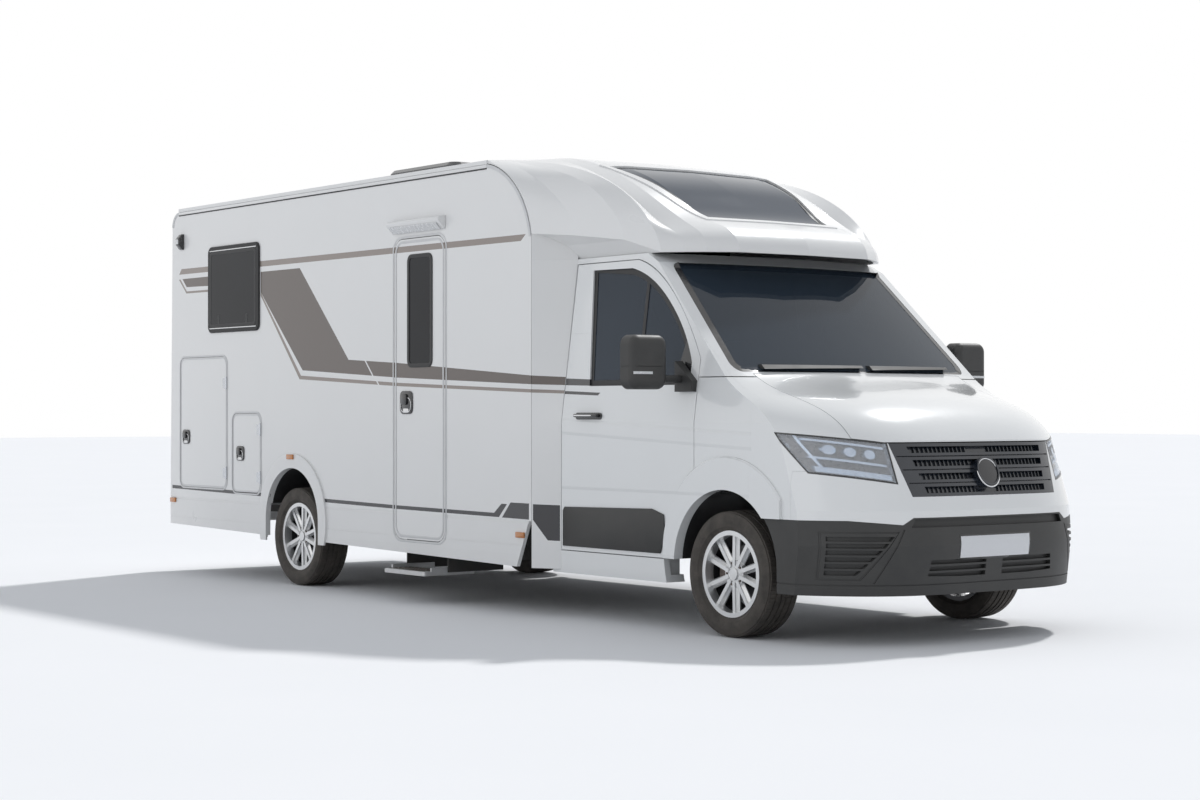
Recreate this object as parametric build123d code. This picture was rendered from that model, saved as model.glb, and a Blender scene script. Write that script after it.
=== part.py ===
from build123d import *
import os

os.makedirs("parts", exist_ok=True)

# Low-profile motorhome. +X is forward, +Y is the vehicle's left, the ground is Z = 0 and the
# origin lies under the middle of the vehicle. All sizes are in millimetres.

# Overall
LENGTH = 7420.0
WHEELBASE = 4490.0
FRONT_OVERHANG = 1020.0
GAP = 5.0                # shut line round every door and lid
JOIN = 0.8               # line between two fixed panels
SEAT = 0.3               # play between pieces that lie against each other

# Wheels and axles
TYRE_R = 340.0
TYRE_W = 235.0
BEAD_R = 218.0
RIM_LIP_R = 233.0
RIM_W = 190.0
SPOKE_PAIRS = 5
SPOKE_SPREAD = 16.5      # degrees from the middle of a pair to each of its spokes
BOLT_CIRCLE_R = 60.0
BOLT_HOLE_R = 7.5
BOLTS = 5
FRONT_TYRE_Y = 868.0
REAR_TYRE_Y = 955.0
KINGPIN_Y = 775.0
KINGPIN_R = 18.0
DISC_R = 150.0
DISC_T = 28.0
HUB_BORE_R = 32.0

# Chassis
RAIL_Y = 420.0           # outer face of each rail
RAIL_W = 60.0
RAIL_H = 120.0
FLOOR_Z = 560.0          # underside of the living floor
FLOOR_T = 42.0
LEAF_W = 70.0
LEAF_T = 28.0
LEAF_L = 1250.0
AXLE_BEAM_R = 38.0

# Entry step
STEP_W = 470.0
STEP_Z = 208.0
STEP_T = 27.0
STEP_DEPTH = 230.0
STEP_OUT = 120.0         # how far the tread stands out past the side wall
STEP_GUIDE = 420.0
STEP_TRAVEL = 220.0
CHEEK_T = 8.0
TOW_BOLT_R = 6.5
TOW_BOLT_BACK = 110.0    # bolt hole ahead of the rail's rear end
TOW_BOLT_DEPTH = 60.0
RAIL_FRONT = 620.0       # front ends of the rails ahead of the front axle

# Living part
HAB_W = 2200.0
HAB_FRONT = 1644.0       # front edge of its walls behind the front axle
WALL_T = 32.0
ROOF_EDGE_Z = 2712.0     # where roof and side walls meet
ROOF_CROWN = 45.0        # rise of the roof at the middle
ROOF_T = 36.0
ROOF_RIM = 24.0          # height of the roof's edge on the walls
RAIL_DROP = 8.0          # how far the roof rail stands out past the walls
ROOF_FRONT = 2100.0      # front edge of the roof behind the front axle
REAR_CORNER_R = 110.0
SKIRT_T = 24.0
SKIRT_LOW_FRONT = 285.0
SKIRT_LOW_REAR = 358.0
REAR_ARCH_R = 366.0
REAR_ARCH_Z = 450.0
REAR_FLARE_W = 100.0
FLARE_OUT = 14.0         # how far the rear flares stand out
SKIRT_LINE_Z = 414.0      # groove along the skirts
SKIRT_STEP = 14.0        # stepped-back edge along their top
TAIL_LAMP_Y = 925.0      # inner edge of a tail lamp
TAIL_LAMP_W = 105.0
TAIL_LAMP_LOW = 660.0
TAIL_LAMP_H = 430.0

# Openings in the living part, as distances behind the front axle and heights
DOOR_FRONT = 2570.0
DOOR_W = 595.0
DOOR_LOW = 392.0
DOOR_TOP = 2312.0
DOOR_CORNER_R = 90.0
DOOR_GLASS_FRONT = 2724.0
DOOR_GLASS_W = 270.0
DOOR_GLASS_LOW = 1501.0
DOOR_GLASS_H = 699.0
GARAGE_FRONT = 5467.0
GARAGE_W = 741.0
GARAGE_LOW = 645.0
GARAGE_H = 962.0
SMALL_FRONT = 4954.0
SMALL_W = 422.0
SMALL_LOW = 624.0
SMALL_H = 568.0
HATCH_CORNER_R = 60.0
HINGE_R = 7.5
HINGE_H = 90.0
WINDOW_FRONT = 4971.0
WINDOW_W = 767.0
WINDOW_LOW = 1790.0
WINDOW_H = 621.0
LOUNGE_FRONT = 2350.0    # second window of the left wall
LOUNGE_W = 1000.0
LOUNGE_H = 560.0
SKYLIGHT_REAR = 4350.0
SKYLIGHT_L = 800.0
SKYLIGHT_W = 780.0
SKYLIGHT_H = 128.0       # height of its closed lid above the roof
CAP_T = 26.0
CAP_RIM = 7.0            # raised rim round the roof glass
CAP_RIM_W = 46.0
WINDOW_OUT = 14.0        # how far a window frame stands out
GLASS_T = 5.0

# Cab
CAB_W = 2000.0
CAB_SKIN = 40.0          # whole thickness of its doors and panels
SHOULDER_Z = 1150.0      # above this the sides lean in
CAB_TOP_W = 1740.0
CAB_TOP_Z = 2110.0
CAB_REAR = 1560.0
SILL_Z = 400.0
NOSE_SWEEP = 440.0       # how far the corners of the nose are swept back
SCREEN_SWEEP = 100.0
SCREEN_TOP_X = -612.0    # top edge of the windscreen, at the middle
HEADER_W = 108.0         # strip between windscreen and roof
FRONT_ARCH_R = 412.0
FRONT_ARCH_Z = 380.0
FRONT_FLARE_R = 540.0
FRONT_FLARE_Z = 432.0
FRONT_FLARE_X = 20.0
WING_FLARE = 17.0        # how far the front flares stand out
BAND_END = 518.0         # rear ends of the painted bumper band ahead of the front axle
CAB_DOOR_FRONT = 262.0
CAB_DOOR_REAR = 1475.0
DOOR_SWING = 7.0         # wider shut line behind the top of the cab doors, which swing back
BONNET_Y = 770.0         # side shut line of the bonnet
BONNET_LIP_Z = 1052.0
SCREEN_FOOT_X = 60.0     # foot of the windscreen ahead of the front axle, at the middle
SCREEN_LOW_Z = 1425.0
COWL_W = 22.0            # strip between windscreen and bonnet
WING_TOP_Z = 1400.0      # wings below, cowl and pillars above
GRILLE_TOP_Y = 602.0
GRILLE_LOW_Y = 540.0
GRILLE_LOW_Z = 772.0
GRILLE_SLATS = 4
GRILLE_SIDE = 95.0       # width of the plain panels at its ends
GRILLE_DEPTH = 24.0
EMBLEM_R = 80.0
EMBLEM_Z = 889.0
WEB_Y = 640.0            # reach of the painted web between grille and lamp
LAMP_LOW_Z = 836.0
LAMP_RISE = 66.0         # how far the lamp climbs towards the wing
LAMP_LENS_T = 4.0
LAMP_DEPTH = 26.0
BUMPER_SPLIT_Z = 652.0
SLOT_TOP_Z = 666.0       # upper intake between the painted band and the bumper
SLOT_LOW_Z = 616.0
SLOT_Y = 556.0
VENT_TOP_Z = 588.0       # side vents of the bumper
VENT_LOW_Z = 355.0
VENT_INNER_Y = 640.0
VENT_OUTER_Y = 935.0
VENT_DEPTH = 24.0
VENT_SLATS = 6
INTAKE_Y = 452.0         # lower intake under the number plate
INTAKE_LOW_Z = 352.0
INTAKE_TOP_Z = 440.0
MIRROR_REACH = 1376.0
MIRROR_LOW_Z = 1330.0
SAIL_L = 150.0           # foot of the mirror, on the front corner of the door
SAIL_H = 170.0
SAIL_LOW_Z = 1318.0
MIRROR_H = 295.0
WIPER_T = 14.0
BULKHEAD = 330.0         # bulkhead behind the front axle

# Places worked out from the driving sizes
FRONT_X = LENGTH / 2 - FRONT_OVERHANG
REAR_X = FRONT_X - WHEELBASE
TAIL_X = -LENGTH / 2
HUB_Z = TYRE_R
CAB_FLOOR_Z = FLOOR_Z + SEAT
RAIL_LOW = FLOOR_Z - RAIL_H
HAB_Y = HAB_W / 2
CAB_Y = CAB_W / 2
RIGHT = -1
LEFT = 1


# ---------------------------------------------------------------- building blocks

def block(x0, x1, y0, y1, z0, z1):
    """Box between two corners."""
    size = (abs(x1 - x0), abs(y1 - y0), abs(z1 - z0))
    return Pos((x0 + x1) / 2, (y0 + y1) / 2, (z0 + z1) / 2) * Box(*size)


def side_plate(points, y0, y1, corner=0.0):
    """Outline of (x, z) points made into a plate between y0 and y1."""
    outline = make_face(Polyline(*points, close=True))
    if corner:
        outline = fillet(outline.vertices(), corner)
    plate = extrude(Plane.XZ * outline, abs(y1 - y0))
    return Pos(0, max(y0, y1), 0) * plate


def side_box(behind, width, low, height, y0, y1, corner, grow=0.0):
    """Rounded upright plate: front edge given as the distance behind the front axle."""
    x1 = FRONT_X - behind + grow
    x0 = FRONT_X - behind - width - grow
    z0 = low - grow
    z1 = low + height + grow
    return side_plate([(x0, z0), (x1, z0), (x1, z1), (x0, z1)], y0, y1, corner + grow)


def axle_disc(x, z, radius, y0, y1):
    """Cylinder along Y between y0 and y1."""
    length = abs(y1 - y0)
    return Pos(x, (y0 + y1) / 2, z) * Rot(90, 0, 0) * Cylinder(radius, length)


def mirrored(shape):
    return mirror(shape, Plane.XZ)


def both_sides(shape):
    return Compound(children=list(shape.solids()) + list(mirrored(shape).solids()))


def cab_side(z):
    """Half width of the cab at height z: upright to the shoulder, then leaning in."""
    lean = (CAB_Y - CAB_TOP_W / 2) / (CAB_TOP_Z - SHOULDER_Z)
    return CAB_Y - lean * max(0.0, z - SHOULDER_Z)


def roof_height(y):
    """Height of the crowned roof at a distance y from the middle."""
    return ROOF_EDGE_Z + SEAT + ROOF_RIM + ROOF_CROWN * (1.0 - (y / (HAB_Y + RAIL_DROP)) ** 2)


def save(name, shape):
    solids = shape.solids()
    whole = solids[0] if len(solids) == 1 else Compound(children=list(solids))
    export_step(whole, f"parts/{name}.step")


# ---------------------------------------------------------------- wheels, axles, steering

def tyre(y):
    """Tyre on its bead seats, with bulging side walls and a chamfered tread edge."""
    half = TYRE_W / 2
    bead = RIM_W / 2 - 14.0
    flange = RIM_LIP_R + 2.0
    shoulder = 0.80 * half
    right = [(TYRE_R, 16.0 - shoulder), (TYRE_R - 18.0, -shoulder - 8.0), (0.82 * TYRE_R, -half), (flange, -bead),
             (BEAD_R + SEAT, -bead)]
    outline = right + [(radius, -across) for radius, across in reversed(right)]
    with BuildPart() as made:
        with BuildSketch(Plane.XY):
            with BuildLine():
                Polyline(*outline, close=True)
            make_face()
        revolve(axis=Axis.Y)
    return Pos(0, y, 0) * made.part


def spoke():
    """One spoke, wider towards the rim, with sloping flanks on both sides of its face."""
    face = RIM_W / 2 - 22.0
    outline = [(44.0, -19.0), (BEAD_R - 5.0, -25.0), (BEAD_R - 5.0, 25.0), (44.0, 19.0)]
    bar = side_plate(outline, face - 30.0, face)
    for side in (LEFT, RIGHT):
        flank = Pos(0, face, side * 27.0) * Rot(side * 42.0, 0, 0) * Box(600.0, 60.0, 24.0)
        bar -= flank
    return bar


def rim():
    """Alloy wheel with its hub and brake disc, facing +Y, with its middle at the origin."""
    half = RIM_W / 2
    face = half - 22.0
    barrel = Rot(90, 0, 0) * (Cylinder(BEAD_R, RIM_W - 20.0) - Cylinder(BEAD_R - 10.0, RIM_W))
    lip = Rot(90, 0, 0) * (Cylinder(RIM_LIP_R, 10.0) - Cylinder(BEAD_R - 10.0, 20.0))
    shape = barrel + Pos(0, half - 5.0, 0) * lip + Pos(0, 5.0 - half, 0) * lip
    arm = spoke()
    for pair in range(SPOKE_PAIRS):
        for turn in (-SPOKE_SPREAD, SPOKE_SPREAD):
            shape += Rot(0, 360.0 * pair / SPOKE_PAIRS + turn, 0) * arm
    hub = axle_disc(0, 0, BOLT_CIRCLE_R + 14.0, face - 44.0, face - 6.0)
    cap = axle_disc(0, 0, 34.0, face - 10.0, face + 2.0)
    bell = axle_disc(0, 0, BOLT_CIRCLE_R + 14.0, face - 90.0, face - 40.0)
    disc = axle_disc(0, 0, DISC_R, face - 90.0 - DISC_T / 2, face - 90.0 + DISC_T / 2)
    shape += hub + bell + disc + cap
    shape -= axle_disc(0, 0, HUB_BORE_R, face - 140.0, face - 12.0)
    hole = Pos(BOLT_CIRCLE_R, 0, 0) * axle_disc(0, 0, BOLT_HOLE_R, face - 24.0, face + 5.0)
    for number in range(BOLTS):
        shape -= Rot(0, 360.0 * (number + 0.5) / BOLTS, 0) * hole
    return shape


def stub_reach():
    """Distance from a wheel's middle plane to the inner face of its brake disc."""
    return RIM_W / 2 - 22.0 - 90.0 - DISC_T / 2


def wheels():
    outward = rim()
    for end, x, tyre_y in (("front", FRONT_X, FRONT_TYRE_Y), ("rear", REAR_X, REAR_TYRE_Y)):
        for name, side in (("right", RIGHT), ("left", LEFT)):
            save(f"tyre_{end}_{name}", Pos(x, 0, HUB_Z) * tyre(side * tyre_y))
            turned = outward if side == LEFT else mirrored(outward)
            save(f"rim_{end}_{name}", Pos(x, side * tyre_y, HUB_Z) * turned)


def stub(tyre_y, inner_y):
    """Stub axle that the hub turns on, from inner_y out into the hub's bore."""
    tip = tyre_y + RIM_W / 2 - 22.0 - 14.0
    return axle_disc(0, 0, HUB_BORE_R - SEAT, inner_y, tip)


def knuckle():
    """Steering knuckle on the left: upright, kingpin bosses, stub axle, caliper and steering arm."""
    inner = FRONT_TYRE_Y + stub_reach() - 8.0
    upright = block(-45.0, 45.0, KINGPIN_Y - 30.0, inner, -95.0, 95.0)
    shape = upright + stub(FRONT_TYRE_Y, inner - 20.0)
    disc_y = FRONT_TYRE_Y + stub_reach() + DISC_T / 2
    caliper = block(-175.0, -100.0, disc_y - 40.0, disc_y + 36.0, -60.0, 60.0)
    slot = axle_disc(0, 0, DISC_R + 6.0, disc_y - DISC_T / 2 - 6.0, disc_y + DISC_T / 2 + 6.0)
    bracket = block(-130.0, -40.0, KINGPIN_Y - 20.0, disc_y - DISC_T / 2 - 8.0, -30.0, 30.0)
    shape += (caliper - slot) + bracket
    shape -= Pos(0, KINGPIN_Y, 0) * Cylinder(KINGPIN_R + SEAT, 250.0)
    shape += block(-150.0, -40.0, KINGPIN_Y - 24.0, KINGPIN_Y - 4.0, -80.0, -55.0)
    return Pos(FRONT_X, 0, HUB_Z) * shape


def front_axle():
    """Subframe, wishbones and the kingpins that the knuckles turn on."""
    shape = block(-60.0, 60.0, -RAIL_Y, RAIL_Y, 0.0, 60.0)
    for side in (LEFT, RIGHT):
        pin = Pos(0, side * KINGPIN_Y, 0) * Cylinder(KINGPIN_R, 236.0)
        post = block(-60.0, 60.0, side * (RAIL_Y - RAIL_W), side * RAIL_Y, 0.0, RAIL_LOW - HUB_Z - SEAT)
        cheek = block(-150.0, 150.0, side * (RAIL_Y + SEAT), side * (RAIL_Y + 26.0), -125.0, 130.0)
        foot = block(-60.0, 60.0, side * (RAIL_Y - 10.0), side * (RAIL_Y + 10.0), 0.0, 60.0)
        shape += wishbone(side, -125.0) + wishbone(side, 110.0) + pin + post + cheek + foot
    return Pos(FRONT_X, 0, HUB_Z) * shape


def wishbone(side, low):
    """Wishbone from the subframe's cheek out to the kingpin, 20 mm thick."""
    root = RAIL_Y + 20.0
    tip = KINGPIN_Y + 28.0
    arm = make_face(Polyline((-150.0, root), (150.0, root), (26.0, tip), (-26.0, tip), close=True))
    arm -= make_face(Polyline((-90.0, root + 40.0), (90.0, root + 40.0), (16.0, tip - 110.0), (-16.0, tip - 110.0),
                              close=True))
    shape = Pos(0, 0, low) * extrude(arm, 20.0)
    return shape if side == LEFT else mirrored(shape)


def rear_axle():
    """Beam axle with stub ends, calipers and its two leaf springs."""
    inner = REAR_TYRE_Y + stub_reach() - 8.0
    shape = axle_disc(0, 0, AXLE_BEAM_R, -inner, inner)
    disc_y = REAR_TYRE_Y + stub_reach() + DISC_T / 2
    end = stub(REAR_TYRE_Y, inner - 20.0)
    end += axle_disc(0, 0, 62.0, inner - 24.0, inner)
    caliper = block(100.0, 175.0, disc_y - 40.0, disc_y + 36.0, -60.0, 60.0)
    slot = axle_disc(0, 0, DISC_R + 6.0, disc_y - DISC_T / 2 - 6.0, disc_y + DISC_T / 2 + 6.0)
    end += (caliper - slot) + block(0.0, 130.0, inner - 24.0, disc_y - DISC_T / 2 - 8.0, -30.0, 30.0)
    spring_y = RAIL_Y - RAIL_W / 2
    rise = FLOOR_Z - RAIL_H - HUB_Z
    arch = make_face(
        ThreePointArc((-LEAF_L / 2, rise), (0, AXLE_BEAM_R - LEAF_T / 2), (LEAF_L / 2, rise))
        + Polyline((LEAF_L / 2, rise), (LEAF_L / 2, rise - LEAF_T))
        + ThreePointArc((LEAF_L / 2, rise - LEAF_T), (0, AXLE_BEAM_R - 1.5 * LEAF_T), (-LEAF_L / 2, rise - LEAF_T))
        + Polyline((-LEAF_L / 2, rise - LEAF_T), (-LEAF_L / 2, rise))
    )
    leaf = Pos(0, spring_y + LEAF_W / 2, 0) * extrude(Plane.XZ * arch, LEAF_W)
    end += leaf
    shape += end + mirrored(end)
    return Pos(REAR_X, 0, HUB_Z) * shape


# ---------------------------------------------------------------- chassis

def step_edges():
    """Both sides of the entry step, under the entrance door."""
    middle = FRONT_X - DOOR_FRONT - DOOR_W / 2
    return middle - STEP_W / 2, middle + STEP_W / 2


def chassis_frame():
    """Two rails with the cross members between them, and the brackets that guide the entry step."""
    front = FRONT_X + RAIL_FRONT
    tail = TAIL_X + 180.0
    middle = RAIL_Y - RAIL_W / 2
    rail = block(tail, front, RAIL_Y - RAIL_W, RAIL_Y, RAIL_LOW, FLOOR_Z - SEAT)
    rail -= Pos(tail + TOW_BOLT_BACK, middle, RAIL_LOW + TOW_BOLT_DEPTH / 2) * Cylinder(TOW_BOLT_R, TOW_BOLT_DEPTH)
    pieces = [rail, mirrored(rail)]
    reach = RAIL_Y - RAIL_W - SEAT
    for x in (tail + 40.0, REAR_X - 700.0, REAR_X + 720.0, FRONT_X - 2500.0, FRONT_X - 1500.0, front - 40.0):
        pieces.append(block(x - 30.0, x + 30.0, -reach, reach, RAIL_LOW + 20.0, FLOOR_Z - 30.0))
    step_low, step_high = step_edges()
    for x0, x1 in ((step_low - SEAT - CHEEK_T, step_low - SEAT), (step_high + SEAT, step_high + SEAT + CHEEK_T)):
        beam = block(x0 - 12.0, x1 + 12.0, -HAB_Y + 60.0, -RAIL_Y - SEAT, FLOOR_Z - 60.0, FLOOR_Z - SEAT)
        cheek = block(x0, x1, -HAB_Y + 60.0, -HAB_Y + 60.0 + STEP_GUIDE, STEP_Z - 10.0, FLOOR_Z - 50.0)
        pieces.append(beam + cheek)
    return Compound(children=pieces)


def entry_step():
    """Sliding tread, out as it stands, on two runners between the guide cheeks."""
    step_low, step_high = step_edges()
    tread = block(step_low, step_high, -HAB_Y - STEP_OUT, -HAB_Y - STEP_OUT + STEP_DEPTH, STEP_Z - STEP_T, STEP_Z)
    tread = fillet(tread.edges().filter_by(Axis.Z), 18.0)
    shape = tread
    for x0, x1 in ((step_low, step_low + 14.0), (step_high - 14.0, step_high)):
        shape += block(x0, x1, -HAB_Y - STEP_OUT + 60.0, -HAB_Y + 60.0 + STEP_GUIDE - STEP_TRAVEL, STEP_Z - STEP_T, STEP_Z + 22.0)
    return shape


def floor_panel():
    """Living floor with its two wheel housings."""
    front = FRONT_X - HAB_FRONT - GAP
    tail = TAIL_X + 60.0
    edge = HAB_Y - WALL_T - SEAT
    shape = block(tail, front, -edge, edge, FLOOR_Z, FLOOR_Z + FLOOR_T)
    for side in (LEFT, RIGHT):
        inner = side * (REAR_TYRE_Y - TYRE_W / 2 - 45.0)
        outer = side * edge
        housing = axle_disc(REAR_X, REAR_ARCH_Z, REAR_ARCH_R + 12.0, inner, outer)
        housing -= block(REAR_X - 500, REAR_X + 500, inner * 0.5, outer * 1.2, -100.0, FLOOR_Z + 1.0)
        hollow = axle_disc(REAR_X, REAR_ARCH_Z, REAR_ARCH_R, inner + side * 12.0, outer * 1.2)
        shape = shape + housing - hollow
    return shape


def waste_tank():
    """Waste-water tank slung under the floor between the rails and the right skirt."""
    x0 = FRONT_X - 2480.0
    x1 = FRONT_X - 2030.0
    tank = block(x0, x1, -RAIL_Y - 480.0, -RAIL_Y - 10.0, 300.0, FLOOR_Z - SEAT)
    return fillet(tank.edges().filter_by(Axis.Z), 40.0)


# ---------------------------------------------------------------- living part

def wall_outline():
    """Side wall seen from the side, as a face in the XZ plane."""
    low_front = (FRONT_X - HAB_FRONT, FLOOR_Z)
    top_front = (FRONT_X - HAB_FRONT, 2250.0)
    roof_front = (FRONT_X - ROOF_FRONT, ROOF_EDGE_Z)
    rear_top = (TAIL_X + 60.0 + REAR_CORNER_R, ROOF_EDGE_Z)
    rear_turn = (TAIL_X + 55.0, ROOF_EDGE_Z - REAR_CORNER_R)
    low_rear = (TAIL_X + 25.0, FLOOR_Z)
    bow = (top_front[0] - 95.0, 2480.0)
    corner = (rear_top[0] - 0.72 * REAR_CORNER_R, ROOF_EDGE_Z - 0.28 * REAR_CORNER_R)
    line = Polyline(low_rear, low_front, top_front)
    line += ThreePointArc(top_front, bow, roof_front)
    line += Line(roof_front, rear_top)
    line += ThreePointArc(rear_top, corner, rear_turn)
    line += Line(rear_turn, low_rear)
    return make_face(line)


def wall(side, openings):
    """Side wall cut for the openings given as plates through it."""
    inner = side * (HAB_Y - WALL_T)
    plate = Pos(0, max(inner, side * HAB_Y), 0) * extrude(Plane.XZ * wall_outline(), WALL_T)
    plate -= axle_disc(REAR_X, REAR_ARCH_Z, REAR_ARCH_R, side * HAB_Y * 0.9, side * HAB_Y * 1.1)
    for opening in openings:
        plate -= opening
    return plate


def entrance_outline(side, grow):
    """Entrance door as a plate through wall and skirt."""
    return side_box(DOOR_FRONT, DOOR_W, DOOR_LOW, DOOR_TOP - DOOR_LOW, side * (HAB_Y - WALL_T - 20.0),
                    side * (HAB_Y + 60.0), DOOR_CORNER_R, grow)


def hatch_cut(side, behind, width, low, height, grow):
    return side_box(behind, width, low, height, side * (HAB_Y - WALL_T - 5.0), side * (HAB_Y + 60.0),
                    HATCH_CORNER_R, grow)


def hinge_axis(behind):
    """Where a locker lid turns: just ahead of its front edge and outside the wall."""
    return FRONT_X - behind + GAP / 2, HAB_Y + HINGE_R + SEAT


def hatch(side, behind, width, low, height):
    """Locker lid, as thick as the wall that it closes, with two outside hinges at its front edge."""
    lid = side_box(behind, width, low, height, side * (HAB_Y - WALL_T), side * HAB_Y, HATCH_CORNER_R)
    x, y = hinge_axis(behind)
    for lift in (HATCH_CORNER_R + HINGE_H / 2 + 2 * GAP, 0.80 * height):
        z = low + lift
        lid += Pos(x, side * y, z) * Cylinder(HINGE_R, HINGE_H)
        lid += block(x - 45.0, x, side * (HAB_Y - 1.0), side * (y + 3.0), z - 0.4 * HINGE_H, z + 0.4 * HINGE_H)
    return lid


def entrance_door():
    """Entrance door with its window cut and its skirt panel."""
    side = RIGHT
    door = side_box(DOOR_FRONT, DOOR_W, DOOR_LOW, DOOR_TOP - DOOR_LOW, side * (HAB_Y - WALL_T), side * HAB_Y,
                    DOOR_CORNER_R)
    door -= side_box(DOOR_GLASS_FRONT, DOOR_GLASS_W, DOOR_GLASS_LOW, DOOR_GLASS_H, side * (HAB_Y - 50.0),
                     side * (HAB_Y + 5.0), 30.0, SEAT)
    return door


def entrance_glass():
    side = RIGHT
    return side_box(DOOR_GLASS_FRONT, DOOR_GLASS_W, DOOR_GLASS_LOW, DOOR_GLASS_H, side * (HAB_Y - WALL_T + 4.0),
                    side * (HAB_Y + 2.0), 30.0)


def window(side, behind, width, low, height):
    """Top-hung window: a frame standing out of the wall, and its pane, in one closed piece."""
    body = side_box(behind, width, low, height, side * (HAB_Y - WALL_T), side * HAB_Y, 45.0, -20.0 - SEAT)
    frame = side_box(behind, width, low, height, side * (HAB_Y + SEAT), side * (HAB_Y + WINDOW_OUT), 45.0)
    return body + frame + side_box(behind, width, low, height, side * (HAB_Y - 2.0), side * (HAB_Y + 3.0), 45.0, -21.0)


def window_cut(side, behind, width, low, height):
    return side_box(behind, width, low, height, side * (HAB_Y - WALL_T - 5.0), side * (HAB_Y + 5.0), 45.0, -20.0)


def rear_wall():
    """Rear wall between the side walls, turning forward into the roof in a round corner."""
    outer = wall_outline()
    half = HAB_Y - WALL_T - SEAT
    solid = Pos(0, half, 0) * extrude(Plane.XZ * outer, 2 * half)
    limit = TAIL_X + 60.0 + REAR_CORNER_R
    solid &= block(TAIL_X, limit, -half, half, FLOOR_Z, ROOF_EDGE_Z)
    inner = block(TAIL_X + 60.0 + WALL_T, limit + 10.0, -half - 5, half + 5, FLOOR_Z - 5, ROOF_EDGE_Z - ROOF_T)
    floor_seat = block(TAIL_X + 60.0 - SEAT, limit + 10, -half - 5, half + 5, FLOOR_Z - 5, FLOOR_Z + FLOOR_T + SEAT)
    return solid - inner - floor_seat


def roof_panel():
    """Crowned roof on the walls, with a rail along each side, open under the skylight."""
    front = FRONT_X - ROOF_FRONT
    tail = TAIL_X + 60.0 + REAR_CORNER_R
    low = ROOF_EDGE_Z + SEAT
    edge = HAB_Y + RAIL_DROP
    section = make_face(
        Polyline((edge, low), (edge, low + ROOF_RIM))
        + ThreePointArc((edge, low + ROOF_RIM), (0, low + ROOF_RIM + ROOF_CROWN), (-edge, low + ROOF_RIM))
        + Polyline((-edge, low + ROOF_RIM), (-edge, low), (edge, low))
    )
    panel = Pos(tail + SEAT, 0, 0) * extrude(Plane.YZ * section, front - tail - SEAT)
    return panel - skylight(SEAT)


def skylight(grow):
    """Skylight standing in its hole in the roof: an upright frame and a wider shallow lid."""
    base = ROOF_EDGE_Z + ROOF_RIM + ROOF_CROWN
    x0 = FRONT_X - SKYLIGHT_REAR
    frame = block(x0 - grow, x0 + SKYLIGHT_L + grow, -SKYLIGHT_W / 2 - grow, SKYLIGHT_W / 2 + grow,
                  ROOF_EDGE_Z - grow, base + 0.6 * SKYLIGHT_H)
    frame = fillet(frame.edges().filter_by(Axis.Z), 60.0)
    if grow:
        return frame
    lid = block(x0 - 25.0, x0 + SKYLIGHT_L + 25.0, -SKYLIGHT_W / 2 - 25.0, SKYLIGHT_W / 2 + 25.0,
                base + 0.52 * SKYLIGHT_H, base + SKYLIGHT_H)
    lid = fillet(lid.edges().filter_by(Axis.Z), 80.0)
    return frame + chamfer(lid.faces().sort_by(Axis.Z)[-1].edges(), 24.0)


def skirt(side):
    """Side skirt with its wheel arch and flare, rising towards the rear."""
    x_front = FRONT_X - HAB_FRONT - 25.0
    x_tail = TAIL_X + 25.0
    top = FLOOR_Z - SEAT
    points = [(x_tail, top), (x_tail, SKIRT_LOW_REAR), (x_front - 123.0, SKIRT_LOW_FRONT), (x_front, top)]
    plate = side_plate(points, side * (HAB_Y - SKIRT_T), side * HAB_Y)
    flare = axle_disc(REAR_X, REAR_ARCH_Z, REAR_ARCH_R + REAR_FLARE_W, side * (HAB_Y + SEAT), side * (HAB_Y + FLARE_OUT))
    flare -= block(REAR_X - 600, REAR_X + 600, side * HAB_Y * 0.9, side * HAB_Y * 1.1, -200.0, 300.0)
    join = axle_disc(REAR_X, REAR_ARCH_Z, REAR_ARCH_R + REAR_FLARE_W, side * (HAB_Y - 5.0), side * (HAB_Y + FLARE_OUT))
    join -= block(REAR_X - 600, REAR_X + 600, side * HAB_Y * 0.9, side * HAB_Y * 1.1, top, top + 900.0)
    join -= block(REAR_X - 600, REAR_X + 600, side * HAB_Y * 0.9, side * HAB_Y * 1.1, -200.0, 322.0)
    for z0, z1 in ((SKIRT_LINE_Z - 4.0, SKIRT_LINE_Z + 4.0), (top - SKIRT_STEP, top + 5.0)):
        plate -= block(x_tail - 10.0, x_front + 10.0, side * (HAB_Y - 3.0), side * (HAB_Y + 10.0), z0, z1)
    shape = plate + flare + join
    shape -= axle_disc(REAR_X, REAR_ARCH_Z, REAR_ARCH_R, side * HAB_Y * 0.9, side * HAB_Y * 1.1)
    shape -= block(REAR_X - 366.0, REAR_X + 366.0, side * HAB_Y * 0.9, side * HAB_Y * 1.1, 0.0, REAR_ARCH_Z)
    for carrier in (REAR_X - 900.0, REAR_X + 900.0, x_front - 300.0, x_tail + 200.0):
        shape += block(carrier - 20.0, carrier + 20.0, side * RAIL_Y, side * (HAB_Y - 5.0), top - 40.0, top)
    if side == RIGHT:
        shape -= entrance_outline(side, GAP)
    return shape


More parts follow.
